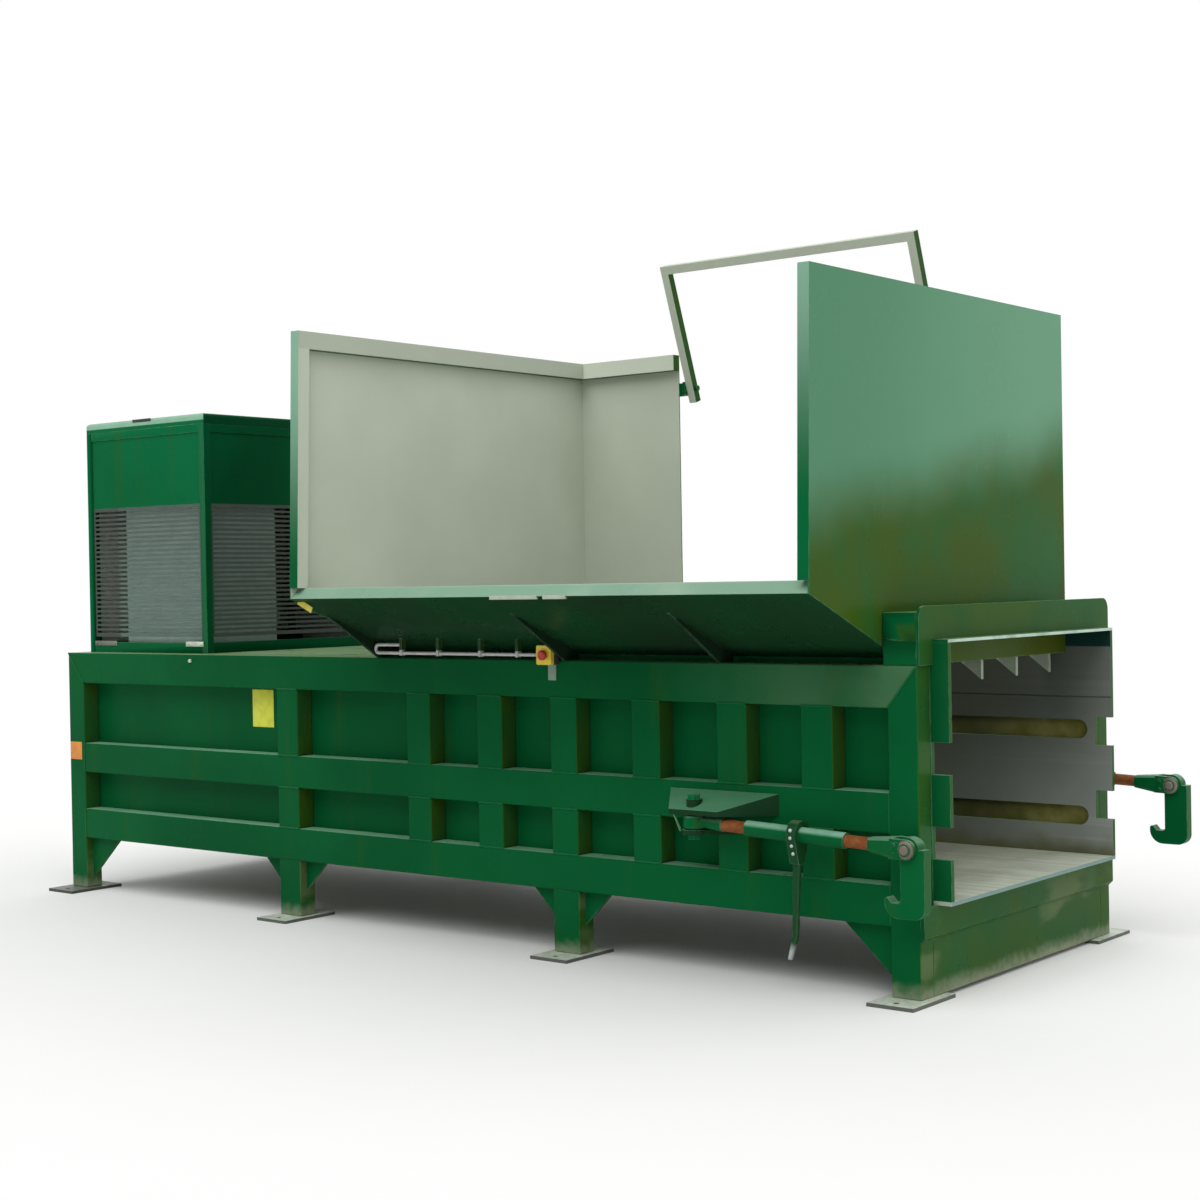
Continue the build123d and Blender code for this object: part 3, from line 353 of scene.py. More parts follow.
def front_edge(g, turn):
    """Front edges of the hopper's walls, turning pale toward the top."""
    rubbed = g.span(g.at("Z"), *turn, 0.0, FRONT_EDGE_PALE)
    return g.times(facing(g, "Y", -1), rubbed)


def lined_paint(name, axis, sign, rim=LINING, edge=None, others=False):
    """Pale lining on the faces that look along an axis, or on all others, and green on the rest."""
    g = Graph(name)
    mask = facing(g, axis, sign)
    if others:
        mask = g.math("SUBTRACT", 1.0, mask)
    paint = paint_colour(g, GREEN, GREEN_DEEP)
    if edge:
        paint = g.mix(front_edge(g, edge), paint, MINT)
    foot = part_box("hopper_wings")[1].z - RIM_BAND
    on_rim = g.span(g.at("Z"), foot - PAINT_BLUR, foot + PAINT_BLUR, 0.0, 0.4)
    g.set(Base_Color=g.mix(mask, paint, g.mix(on_rim, lining_colour(g), rim)))
    paint_finish(g)
    g.set(Roughness=g.span(mask, 0.0, 1.0, 0.24, 0.5))
    return g.material


# Height of the ragged horizon line in the painted reflection on the right wall's outside, under which it is
# dull, and half its depth
REFLECTED_HORIZON = 2.14
HORIZON_HALF = 0.20
# Depth of the waves in that line, and its fall toward the front
HORIZON_WAVES = 0.30
HORIZON_FALL = -0.18
# Places across the body between which the painted reflection of the sky lightens toward the rear side
REFLECTION_BACK = (-0.7, 1.1)


def right_wall_paint(name):
    """Lined inside. Outside, a painted reflection of the sky over a dull, olive lower third that is a
    painted reflection of the ground.
    """
    g = Graph(name)
    outside = facing(g, "X")
    waves = g.times(g.math("SUBTRACT", g.noise(1.5, 3.0), 0.5), HORIZON_WAVES)
    tilt = g.times(g.at("Y"), HORIZON_FALL)
    ragged = g.math("ADD", g.at("Z"), g.math("ADD", waves, tilt))
    # Painted reflection of the sky above a ragged horizon line
    high = g.span(ragged, REFLECTED_HORIZON - HORIZON_HALF, REFLECTED_HORIZON + HORIZON_HALF)
    back = g.span(g.math("ADD", g.at("Y"), g.noise(0.8, 3.0)), *REFLECTION_BACK)
    painted_light = g.mix(back, SKY_REFLECTION, SKY_REFLECTION_PALE)
    # Olive lower part: the painted reflection on faces that look out of the mouth
    paint = paint_colour(g, GREEN_FRESH, GREEN, 0.5, 0.95)
    colour = g.mix(g.times(outside, high), paint, painted_light)
    colour = g.mix(front_edge(g, RIGHT_EDGE_TURN), colour, MINT)
    g.set(Base_Color=g.mix(facing(g, "X", -1), colour, lining_colour(g)))
    return paint_finish(g, 0.2)


# Height above which the liners are painted dark green inside, deepened as painted shade
LINER_DARK = 1.315
# Places along the body between which the chamber's steel goes from dark, with dirt and painted shade, to
# rubbed
CHAMBER_DIRT_AND_SHADE = (1.75, 2.95)
# Heights between which the liners darken upward, a painted shade
LINER_SHADE = (0.45, 1.10)
# Places along the body between which that painted shade thins toward the mouth, heights of the waste under
# it, and its waves
LINER_SHADE_FADE = (2.3, 2.75)
WASTE_Z = (0.42, 0.31)
WASTE_WAVES = -0.12


def liner_steel(name):
    """Liners: green outside, scuffed grey inside with push marks, darker toward the rear with dirt and
    painted shade, darker upward as painted shade, and stained with waste below.
    """
    g = Graph(name)
    inside = facing_in(g)
    height = g.at("Z")
    clouds = g.cloud(1.7, 5.0, 0.3, 0.7)
    steel = g.mix(clouds, LINER_GREY, LINER_PALE)
    marks = g.cloud(1.0, 6.0, 0.55, 0.72, 0.0, 0.4, stretch=(0.5, 6.0, 26.0))
    steel = g.mix(marks, steel, LINER_MARK)
    # Darker toward the rear: dirt and painted shade
    dirt_and_shade = g.span(g.at("X"), *CHAMBER_DIRT_AND_SHADE, 0.85, 0.05)
    steel = g.mix(dirt_and_shade, steel, LINER_DIRT_AND_SHADE)
    # Painted shade, darker upward and thinning toward the mouth
    upper = g.span(height, *LINER_SHADE, 0.05, 0.76)
    painted_shade = g.times(upper, g.span(g.at("X"), *LINER_SHADE_FADE, 1.0, 0.6))
    steel = g.mix(painted_shade, steel, LINER_SHADE_TONE)
    wavy = g.math("ADD", height, g.times(g.noise(7.0, 5.0), WASTE_WAVES))
    steel = g.mix(g.span(wavy, *WASTE_Z, 0.0, 0.8), steel, SLOT_OLIVE)
    # Dark green paint high on the liners, deepened as painted shade
    steel = g.mix(g.span(height, LINER_DARK - PAINT_BLUR, LINER_DARK + PAINT_BLUR), steel, LINER_TOP)
    g.set(Base_Color=g.mix(inside, paint_colour(g, GREEN, GREEN_DEEP), steel))
    g.set(Roughness=g.span(inside, 0.0, 1.0, 0.30, 0.55), Specular_IOR_Level=0.06)
    scratches = g.noise(1.0, 5.0, stretch=(3.0, 30.0, 120.0))
    g.set(Normal=g.bump(scratches, 0.2, 0.002, g.rounded(EDGE_ROUND)))
    return g.material


def floor_steel(name):
    """Chamber floor: rubbed bright at the mouth, darker toward the rear with dirt and painted shade, with a
    painted front edge.
    """
    g = Graph(name)
    rubs = g.cloud(1.0, 6.0, 0.35, 0.7, stretch=(0.8, 24.0, 24.0))
    tone = g.mix(rubs, FLOOR_GREY, FLOOR_RUBBED)
    stains = g.cloud(2.6, 6.0, 0.50, 0.74, 0.0, 0.5)
    tone = g.mix(stains, tone, FLOOR_STAIN)
    # Darker toward the rear: dirt and painted shade
    tone = g.mix(g.span(g.at("X"), *CHAMBER_DIRT_AND_SHADE, 0.85, 0.0), tone, FLOOR_DIRT_AND_SHADE)
    g.set(Base_Color=g.mix(facing(g, "X"), tone, FLOOR_EDGE))
    g.set(Roughness=g.cloud(9.0, 4.0, 0.3, 0.7, 0.38, 0.58), Specular_IOR_Level=0.3)
    g.set(Normal=g.bump(g.noise(1.0, 5.0, stretch=(4.0, 90.0, 90.0)), 0.15, 0.001))
    return g.material


# Places along the body between which the old waste behind the slots lightens toward the mouth, its darkness
# partly painted shade
SLOT_SHADE = (2.0, 2.6)


def panel_paint(name):
    """Side plates: green outside, and brown with old waste where the slots show them inside, darker toward
    the rear as painted shade.
    """
    g = Graph(name)
    inside = facing_in(g)
    grime = g.mix(g.cloud(9.0, 5.0, 0.35, 0.7), WASTE, WASTE_PALE)
    # Darker toward the rear: old waste and painted shade
    grime = g.mix(g.span(g.at("X"), *SLOT_SHADE, 0.85, 0.0), grime, WASTE_DARK_AND_SHADE)
    g.set(Base_Color=g.mix(inside, paint_colour(g, GREEN, GREEN_DEEP, 0.3), grime))
    return paint_finish(g, 0.32)


# How dark bare steel is where it isn't rubbed
STEEL_DARK = 0.72


def worn_steel(name, colour=STEEL, rough=0.42, metal=0.35):
    """Bare steel with stains, rubbed along X."""
    g = Graph(name)
    rubs = g.cloud(1.0, 6.0, 0.35, 0.7, stretch=(0.8, 24.0, 24.0))
    dark = tuple(STEEL_DARK * c for c in colour)
    tone = g.mix(rubs, dark, colour)
    stains = g.cloud(2.6, 6.0, 0.56, 0.74, 0.0, 0.45)
    tone = g.mix(stains, tone, STEEL_STAIN)
    g.set(Base_Color=tone, Metallic=metal)
    g.set(Roughness=g.cloud(9.0, 4.0, 0.3, 0.7, rough - 0.08, rough + 0.12))
    g.set(Normal=g.bump(g.noise(1.0, 5.0, stretch=(4.0, 90.0, 90.0)), 0.15, 0.001))
    return g.material


# Places along the body between which zinc goes from dark at the rear to pale
ZINC_DARK_SPAN = (-2.55, -1.9)


def galvanised(name, shaded_sides=False):
    """Zinc with its pale flakes and floor dust rubbed in, darker toward the rear, and optionally painted
    shade on its sides.
    """
    g = Graph(name)
    flakes = g.add("ShaderNodeTexVoronoi")
    g.feed(flakes.inputs["Vector"], g.place)
    g.feed(flakes.inputs["Scale"], 60.0)
    shade = g.part(flakes.outputs["Color"], "X")
    tone = g.mix(shade, ZINC, ZINC_PALE)
    tone = g.mix(g.cloud(12.0, 5.0, 0.45, 0.7, 0.0, 0.5), tone, DUST)
    # Darker toward the rear
    tone = g.mix(g.span(g.at("X"), *ZINC_DARK_SPAN, 0.9, 0.0), tone, ZINC_DARK)
    # Painted shade on the sides of the plate
    if shaded_sides:
        tone = g.mix(g.span(g.toward("Z"), 0.75, 0.55, 0.0, 0.9), tone, ZINC_SIDE_SHADE)
    g.set(Base_Color=tone, Metallic=0.2, Roughness=g.cloud(30.0, 3.0, 0.3, 0.7, 0.42, 0.62))
    g.set(Normal=g.bump(g.noise(80.0, 3.0), 0.12, 0.001))
    return g.material


# Satin finishes: colour, shade of its marks, and roughness
ENAMELS = {
    "stop_plate_paint": ((0.20, 0.30, 0.22), (0.14, 0.23, 0.16), 0.38),
    "tooth_paint": ((0.28, 0.34, 0.26), (0.34, 0.40, 0.31), 0.5),
    "tank_paint": ((0.35, 0.47, 0.42), (0.29, 0.40, 0.355), 0.38),
    "cabinet_paint": ((0.36, 0.38, 0.38), (0.29, 0.31, 0.31), 0.38),
    "motor_paint": ((0.035, 0.05, 0.06), (0.02, 0.03, 0.035), 0.38),
    "stop_red": ((0.55, 0.022, 0.012), (0.42, 0.015, 0.01), 0.3),
    "conduit_grey": ((0.52, 0.52, 0.50), (0.42, 0.42, 0.40), 0.38),
    "label_yellow": ((0.72, 0.76, 0.045), (0.62, 0.64, 0.035), 0.45),
    "mark_orange": ((0.70, 0.26, 0.035), (0.58, 0.20, 0.03), 0.45),
    "vent_rubber": ((0.012, 0.016, 0.013), (0.02, 0.024, 0.02), 0.6),
    "strip_paint": ((0.42, 0.47, 0.38), (0.34, 0.38, 0.31), 0.38),
    "tag_yellow": ((0.62, 0.55, 0.06), (0.50, 0.44, 0.05), 0.5),
}


def enamel(name):
    """Satin paint or moulded plastic in one colour, with handling marks."""
    colour, shade, rough = ENAMELS[name]
    g = Graph(name)
    marks = g.cloud(18.0, 5.0, 0.4, 0.7)
    g.set(Base_Color=g.mix(marks, colour, shade))
    g.set(Roughness=g.cloud(40.0, 3.0, 0.3, 0.7, rough - 0.08, rough + 0.1))
    g.set(Normal=g.bump(g.noise(300.0, 2.0), 0.08, 0.0006))
    return g.material


def chromed(name):
    """Ground and chromed rod."""
    g = Graph(name)
    lines = g.cloud(1.0, 4.0, 0.3, 0.7, stretch=(6.0, 200.0, 200.0))
    g.set(Base_Color=g.mix(lines, CHROME, CHROME_PALE), Metallic=1.0)
    g.set(Roughness=g.span(lines, 0.0, 1.0, 0.10, 0.2))
    return g.material


# Binders: the way along Y that each looks, fall of the screw, and ends of its threads from the bracket bolt
SIDES = (("near", -1.0), ("far", 1.0))
BINDER_DROOP = math.radians(2.3)
EYE_THREAD = (0.147, 0.262)
FORK_THREAD = (0.600, 0.828)
NO_THREAD = (0.0, 0.0)
THREAD_PITCH = 0.006
# Pivot of each hinged body
PIVOTS = {joint["child"]: Vector(joint["pos_m"]) for joint in frame["joints"] if joint["type"] == "hinge"}


def binder_paint(name, pivot, thread, highlight_share=0.35, highlight_tone=MINT):
    """Binder paint with a painted highlight along its top, and greased, rusty screw between two places."""
    g = Graph(name)
    along = g.times(g.math("SUBTRACT", g.at("X"), pivot.x), math.cos(BINDER_DROOP))
    down = g.times(g.math("SUBTRACT", g.at("Z"), pivot.z), -math.sin(BINDER_DROOP))
    along = g.math("ADD", along, down)
    screw = g.times(g.math("GREATER_THAN", along, thread[0]), g.math("LESS_THAN", along, thread[1]))
    paint = paint_colour(g, GREEN, GREEN_DEEP, 0.3, 0.35)
    # The pale top is a painted highlight
    rubbed = g.span(g.toward("Z"), 0.25, 0.75, 0.0, highlight_share)
    patchy = g.cloud(9.0, 4.0, 0.2, 0.5, 0.5, 1.0)
    paint = g.mix(g.times(rubbed, patchy), paint, highlight_tone)
    grease = g.mix(g.cloud(40.0, 5.0, 0.35, 0.65), RUST, GREASE)
    g.set(Base_Color=g.mix(screw, paint, grease), Specular_IOR_Level=0.08, Specular_Tint=GREEN_SHEEN)
    turns = g.math("SINE", g.times(along, 2.0 * math.pi / THREAD_PITCH))
    threads = g.bump(g.times(turns, screw), 0.9, 0.002, g.rounded(EDGE_ROUND))
    g.set(Roughness=0.36, Normal=g.bump(g.noise(240.0, 2.0), 0.06, 0.001, threads))
    return g.material


# Depths below the screw between which a lever's paint gives way to steel, and the waves there
LEVER_BARE = (0.46, 0.50)
LEVER_WAVES = 0.03


def handle_paint(name, pivot):
    """Lever paint, worn to steel at its lower tip."""
    g = Graph(name)
    depth = g.math("SUBTRACT", pivot.z, g.at("Z"))
    bare = g.span(g.math("ADD", depth, g.times(g.noise(30.0), LEVER_WAVES)), *LEVER_BARE)
    g.set(Base_Color=g.mix(bare, paint_colour(g, GREEN_DEEP, GRIME_AND_SHADE, 0.3, 0.2), STEEL))
    g.set(Metallic=g.times(bare, 0.6), Roughness=0.36, Specular_IOR_Level=0.1)
    g.set(Normal=g.bump(g.noise(180.0, 2.0), 0.08, 0.001, g.rounded(EDGE_ROUND)))
    return g.material


# Place across the body where the chute's lip begins, and half the depth over which its paint turns
LIP_START = -1.330
LIP_BLUR = 0.006
# Height of the chute's folded lip
LIP_FOLD = 0.048


def chute_paint(name):
    """Chute: lined inside, green underneath darkened as painted shade, with its folded lip painted pale as
    a highlight.
    """
    g = Graph(name)
    # The folded lip is painted pale as a highlight
    lip = g.span(g.at("Y"), LIP_START + LIP_BLUR, LIP_START - LIP_BLUR)
    not_under = g.math("SUBTRACT", 1.0, facing(g, "Z", -1))
    patchy = g.cloud(3.0, 5.0, 0.2, 0.5, 0.75, 1.0)
    rubbed = g.times(g.times(lip, not_under), patchy)
    colour = g.mix(facing(g, "Z"), paint_colour(g, GREEN_DEEP, GREEN_DEEP), lining_colour(g))
    # Underneath darkened as painted shade
    painted_shade = g.times(facing(g, "Z", -1), g.cloud(1.2, 4.0, 0.3, 0.7, 0.6, 0.95))
    colour = g.mix(painted_shade, colour, GRIME_AND_SHADE)
    g.set(Base_Color=g.mix(rubbed, colour, LIP_HIGHLIGHT))
    return paint_finish(g)


# Colour of the power pack's end, which is painted shade, depth of the band of painted light along its
# roof's front, and half its blur
HOUSING_END_SHADE = (0.0015, 0.048, 0.0165)
ROOF_BAND = 0.034
BAND_BLUR = 0.003


def roof_paint(name):
    """Housing roof: green, with painted light along the front of its eaves, and painted shade on its end.
    """
    g = Graph(name)
    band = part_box("pack_roof")[1].z - ROOF_BAND
    upper = g.span(g.at("Z"), band - BAND_BLUR, band + BAND_BLUR)
    patchy = g.cloud(4.0, 4.0, 0.25, 0.6, 0.75, 1.0)
    # Painted light along the front of the eaves
    painted_light = g.times(facing(g, "Y", -1), g.times(upper, patchy))
    colour = g.mix(painted_light, paint_colour(g, GREEN_FRESH, GREEN, 0.7, 0.0), EAVES_LIGHT)
    # The roof's end darkened as painted shade
    g.set(Base_Color=g.mix(facing(g, "X"), colour, HOUSING_END_SHADE))
    return paint_finish(g)


def housing_paint(name, pale_inside=False):
    """Power pack paint, fresh on the operator's side, with painted shade on the end."""
    g = Graph(name)
    # The end is darkened as painted shade
    end = g.times(facing(g, "X"), g.cloud(1.4, 3.0, 0.3, 0.7, 0.6, 0.9))
    colour = paint_colour(g, GREEN_FRESH, GREEN, 0.7, 0.0)
    colour = g.mix(end, colour, HOUSING_END_SHADE)
    if pale_inside:
        low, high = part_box("pack_panels")
        middle = (low + high) / 2
        across = g.times(g.math("SUBTRACT", g.at("Y"), middle.y), g.toward("Y"))
        along = g.times(g.math("SUBTRACT", g.at("X"), middle.x), g.toward("X"))
        inside = g.span(g.math("ADD", across, along), -0.05, -0.3)
        colour = g.mix(inside, colour, PACK_INSIDE)
    g.set(Base_Color=colour)
    return paint_finish(g, 0.2, 0.03)


# Height above their foot from which the screens darken upward in painted shade, and depth of the end screen
SCREEN_LIT_HEIGHT = 0.2
SCREEN_END = 0.01


def screen_paint(name):
    """Slatted screens: painted light in front of the tank, and painted shade beside it, on the end and
    toward the top.
    """
    g = Graph(name)
    low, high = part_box("pack_screens")
    place = g.at("X")
    beside = g.math("LESS_THAN", place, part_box("oil_tank")[0].x)
    end = g.math("GREATER_THAN", place, high.x - SCREEN_END)
    # Painted light and shade: lighter in front of the tank, darker beside it, on the end and toward the top
    slats_lit = g.span(g.at("Z"), low.z + SCREEN_LIT_HEIGHT, high.z, 1.0, 0.35)
    slats_lit = g.math("SUBTRACT", slats_lit, g.math("ADD", beside, end), clamp=True)
    tone = g.mix(slats_lit, SLAT_SHADED, SLAT_LIT)
    marks = g.cloud(18.0, 5.0, 0.4, 0.7, 0.0, 0.3)
    g.set(Base_Color=g.mix(marks, tone, SLAT_MARK), Specular_IOR_Level=0.2)
    g.set(Roughness=g.cloud(40.0, 3.0, 0.3, 0.7, 0.4, 0.6))
    g.set(Normal=g.bump(g.noise(300.0, 2.0), 0.08, 0.0006))
    return g.material


# Places along the body between which the top rail is painted lighter toward the mouth, as light
RAIL_LIGHT_SPAN = (1.3, 2.5)


def rail_paint(name):
    """Top rail: dust on top, and painted light toward the mouth."""
    g = Graph(name)
    # Painted light toward the mouth
    painted_light = g.span(g.at("X"), *RAIL_LIGHT_SPAN, 0.0, 0.36)
    patchy = g.cloud(2.5, 4.0, 0.3, 0.65, 0.4, 1.0)
    colour = paint_colour(g, GREEN, GREEN_DEEP, 0.95)
    g.set(Base_Color=g.mix(g.times(painted_light, patchy), colour, RAIL_LIGHT))
    return paint_finish(g)


def bracket_paint(name):
    """Binder brackets: dust and painted light on top, and painted shade on the sides under the top plate.
    """
    g = Graph(name)
    # Top painted light, with dust
    colour = paint_colour(g, GREEN_FRESH, GREEN, 0.42, 0.0, LEDGE_LIGHT)
    # Sides under the top plate darkened as painted shade
    sides = g.span(g.toward("Z"), 0.35, 0.15, 0.0, 0.9)
    g.set(Base_Color=g.mix(sides, colour, GRIME_AND_SHADE))
    return paint_finish(g)


def edge_paint(name):
    """Mouth top plate: green, with its front edge pale, almost white."""
    g = Graph(name)
    rubbed = g.times(facing(g, "X"), g.cloud(7.0, 4.0, 0.3, 0.6, 0.6, 0.95))
    g.set(Base_Color=g.mix(rubbed, paint_colour(g, GREEN, GREEN_DEEP), MOUTH_EDGE))
    return paint_finish(g)


# Depth of the stop box's yellow lid
STOP_LID = 0.020


def stop_box_plastic(name):
    """Stop box: yellow lid on a dark grey base."""
    g = Graph(name)
    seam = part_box("estop_box")[0].y + STOP_LID
    base = g.math("GREATER_THAN", g.at("Y"), seam)
    marks = g.cloud(18.0, 5.0, 0.4, 0.7)
    yellow = g.mix(marks, LID_YELLOW, LID_SHADE)
    grey = g.mix(marks, BASE_GREY, BASE_PALE)
    g.set(Base_Color=g.mix(base, yellow, grey), Roughness=g.cloud(40.0, 3.0, 0.3, 0.7, 0.3, 0.5))
    g.set(Normal=g.bump(g.noise(300.0, 2.0), 0.08, 0.0006, g.rounded(EDGE_ROUND)))
    return g.material


# Height of a conduit strap's bright part
STRAP_BRIGHT = 0.026


def strap_paint(name):
    """Conduit straps: zinc round the conduit, painted over where they hang from the chute."""
    g = Graph(name)
    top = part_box("conduit_clips")[0].z + STRAP_BRIGHT
    over = g.math("GREATER_THAN", g.at("Z"), top)
    zinc = g.mix(g.cloud(60.0, 3.0, 0.3, 0.7), STRAP_ZINC, STRAP_PALE)
    g.set(Base_Color=g.mix(over, zinc, paint_colour(g, GREEN_DEEP, GRIME_AND_SHADE)), Roughness=0.5)
    g.set(Normal=g.bump(g.noise(120.0), 0.1, 0.0008), Specular_IOR_Level=0.1)
    return g.material


def paint_nodes(material, *names):
    """Give CAD nodes one finish."""
    for name in names:
        mesh = nodes[name].data
        mesh.materials.clear()
        mesh.materials.append(material)


def finish_nodes():
    """The finish of every CAD node."""
    paint_nodes(
        green_paint("frame_paint"),
        "end_posts", "inner_posts", "mid_legs", "leg_gussets", "mouth_beam",
        "hood_plate", "sill", "skirt", "hoop_lugs", "rear_bulkhead", "floor_bearers",
        "rear_sill", "cylinder_anchor",
    )
    paint_nodes(rail_paint("rail_paint"), "top_rails")
    # Lower rails: their ledges are painted light
    paint_nodes(green_paint("lower_rail_paint", ledge_dust_and_light=0.8, ledge=LEDGE_LIGHT), "lower_rails")
    paint_nodes(green_paint("deck_paint", ledge_dust_and_light=0.95), "rear_deck")
    paint_nodes(bracket_paint("bracket_paint"), "binder_brackets")
    paint_nodes(green_paint("bolt_paint", GREEN_FRESH, GREEN, 0.3, 0.6, 0.2), "binder_bolts")
    paint_nodes(enamel("stop_plate_paint"), "estop_plate")
    # The lintel looks out of the mouth; its olive is a painted reflection of the ground
    paint_nodes(green_paint("lintel_paint", SLOT_OLIVE, OLIVE), "lintel")
    # Gussets under the chute painted dark as shade
    paint_nodes(green_paint("under_paint", GRIME_AND_SHADE, GRIME_AND_SHADE, 0.4, 0.3, 0.0), "chute_gussets")
    paint_nodes(edge_paint("mouth_edge_paint"), "mouth_top_plate")
    paint_nodes(housing_paint("housing_paint"), "pack_frame")
    paint_nodes(housing_paint("housing_panel_paint", True), "pack_panels")
    paint_nodes(roof_paint("roof_paint"), "pack_roof")
    paint_nodes(panel_paint("panel_paint"), "side_plates")
    left_paint = lined_paint("left_wall_paint", "X", 1, WALL_RIM, LEFT_EDGE_TURN)
    paint_nodes(left_paint, "hopper_left_wall")
    paint_nodes(right_wall_paint("right_wall_paint"), "hopper_right_wall")
    paint_nodes(lined_paint("wing_paint", "Y", -1, WING_RIM), "hopper_wings")
    paint_nodes(lined_paint("hoop_paint", "X", 1, others=True), "rear_hoop")
    paint_nodes(chute_paint("chute_paint"), "chute")
    paint_nodes(liner_steel("liner_steel"), "liners")
    paint_nodes(enamel("tooth_paint"), "retaining_teeth")
    paint_nodes(floor_steel("floor_steel"), "floor_plate")
    paint_nodes(worn_steel("ram_steel", RAM_STEEL), "ram", "ram_shoes")
    paint_nodes(screen_paint("screen_paint"), "pack_screens")
    # Foot plates with painted shade on their sides
    paint_nodes(galvanised("zinc", True), "foot_plates")
    paint_nodes(strap_paint("strap_paint"), "conduit_clips")
    paint_nodes(enamel("tank_paint"), "oil_tank")
    paint_nodes(enamel("cabinet_paint"), "control_cabinet")
    paint_nodes(enamel("motor_paint"), "pump_set", "cylinder_barrel")
    paint_nodes(worn_steel("valve_steel", VALVE_STEEL, 0.3, 0.8), "valve_block")
    paint_nodes(chromed("rod_chrome"), "cylinder_rod", "cylinder_stage")
    paint_nodes(stop_box_plastic("stop_plastic"), "estop_box")
    paint_nodes(enamel("stop_red"), "estop_button")
    paint_nodes(enamel("conduit_grey"), "conduit")
    for side in ("near", "far"):
        pivot = PIVOTS[f"{side}_binder"]
        paint_nodes(binder_paint(f"{side}_eye_paint", pivot, EYE_THREAD), f"{side}_eye_rod")
        paint_nodes(binder_paint(f"{side}_fork_paint", pivot, FORK_THREAD), f"{side}_fork")
        # The tube carries a stronger painted highlight on top
        tube = binder_paint(f"{side}_tube_paint", pivot, NO_THREAD, 0.72, TUBE_HIGHLIGHT)
        paint_nodes(tube, f"{side}_turnbuckle")
        paint_nodes(binder_paint(f"{side}_hook_paint", pivot, NO_THREAD), f"{side}_hook")
        paint_nodes(handle_paint(f"{side}_lever_paint", pivot), f"{side}_handle")


# Edges that meet at more than this angle stay sharp, and faces that meet at less are made one
SHARP_ANGLE = math.radians(35)
FLAT_ANGLE = math.radians(0.4)
# Distance within which corners are joined
MERGE = 1e-5
# Widths of rounded edges on tubes, thin labels, sheet and strips
TUBE_EDGE = 0.006
SMALL_TUBE_EDGE = 0.004
LABEL_EDGE = 0.0005
SHEET_EDGE = 0.0008
STRIP_EDGE = 0.001


def smooth_shading():
    """A modifier's node group that shades a mesh smooth except over its sharp edges."""
    group = bpy.data.node_groups.new("smooth_shading", "GeometryNodeTree")
    for way in ("INPUT", "OUTPUT"):
        group.interface.new_socket("Geometry", in_out=way, socket_type="NodeSocketGeometry")
    g = Nodes(group)
    faces = g.add("GeometryNodeSetShadeSmooth")
    edges = g.add("GeometryNodeSetShadeSmooth")
    edges.domain = "EDGE"
    angle = g.add("GeometryNodeInputMeshEdgeAngle")
    gentle = g.add("FunctionNodeCompare", "LESS_THAN")
    g.feed(gentle.inputs["A"], angle.outputs["Unsigned Angle"])
    g.feed(gentle.inputs["B"], SHARP_ANGLE)
    g.feed(edges.inputs["Shade Smooth"], gentle.outputs["Result"])
    g.feed(faces.inputs["Geometry"], g.add("NodeGroupInput").outputs[0])
    g.feed(edges.inputs["Geometry"], faces.outputs[0])
    g.feed(g.add("NodeGroupOutput").inputs[0], edges.outputs[0])
    return group


SMOOTH = smooth_shading()


def joined(node):
    """Join the corners that the faces of a CAD node share."""
    weld = node.modifiers.new("join_corners", "WELD")
    weld.merge_threshold = MERGE


def shaded(node):
    """Shade a CAD node smooth over its curves."""
    smooth = node.modifiers.new("shading", "NODES")
    smooth.node_group = SMOOTH


def round_edges(width, *names):
    """Round the long edges of CAD nodes as rolled tube is."""
    for name in names:
        node = nodes[name]
        joined(node)
        whole = node.modifiers.new("whole_faces", "DECIMATE")
        whole.decimate_type = "DISSOLVE"
        whole.angle_limit = FLAT_ANGLE
        bevel = node.modifiers.new("edges", "BEVEL")
        bevel.width = width
        bevel.segments = 3
        bevel.limit_method = "ANGLE"
        bevel.angle_limit = SHARP_ANGLE
        shaded(node)
        node.modifiers.new("flat_faces", "WEIGHTED_NORMAL")


def shape_nodes():
    """Tube gets round edges, and every other node is shaded by its angles."""
    tubes = ("top_rails", "lower_rails", "end_posts", "inner_posts", "mid_legs", "mouth_beam")
    small_tubes = ("pack_frame", "control_cabinet")
    round_edges(TUBE_EDGE, *tubes)
    round_edges(SMALL_TUBE_EDGE, *small_tubes)
    for name, node in nodes.items():
        if name not in tubes + small_tubes:
            joined(node)
            shaded(node)


def mesh_piece(name, bm, material, body):
    """Turn a bmesh into a piece that rides on a body."""
    mesh = bpy.data.meshes.new(name)
    bm.to_mesh(mesh)
    bm.free()
    for face in mesh.polygons:
        face.use_smooth = True
    mesh.materials.append(material)
    piece = bpy.data.objects.new(name, mesh)
    scene.collection.objects.link(piece)
    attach(piece, body)
    return piece


# Weld beads: half-width, at its dips and at its ends, length of one ripple and corners of the section
BEAD = 0.005
BEAD_DIP = 0.72 * BEAD
BEAD_END = 0.3 * BEAD
RIPPLE = 0.009
BEAD_CORNERS = 6


def ring(bm, centre, turn, radius, corners):
    """New vertices on a circle round a centre."""
    verts = []
    for k in range(corners):
        angle = 2.0 * math.pi * k / corners
        spoke = Vector((math.cos(angle), math.sin(angle), 0.0)) * radius
        verts.append(bm.verts.new(centre + turn @ spoke))
    return verts


def bridge(bm, rings):
    """Faces between rings of vertices, with both ends closed."""
    corners = len(rings[0])
    for low, high in zip(rings, rings[1:]):
        for k in range(corners):
            j = (k + 1) % corners
            bm.faces.new((low[k], low[j], high[j], high[k]))
    bm.faces.new(list(reversed(rings[0])))
    bm.faces.new(rings[-1])


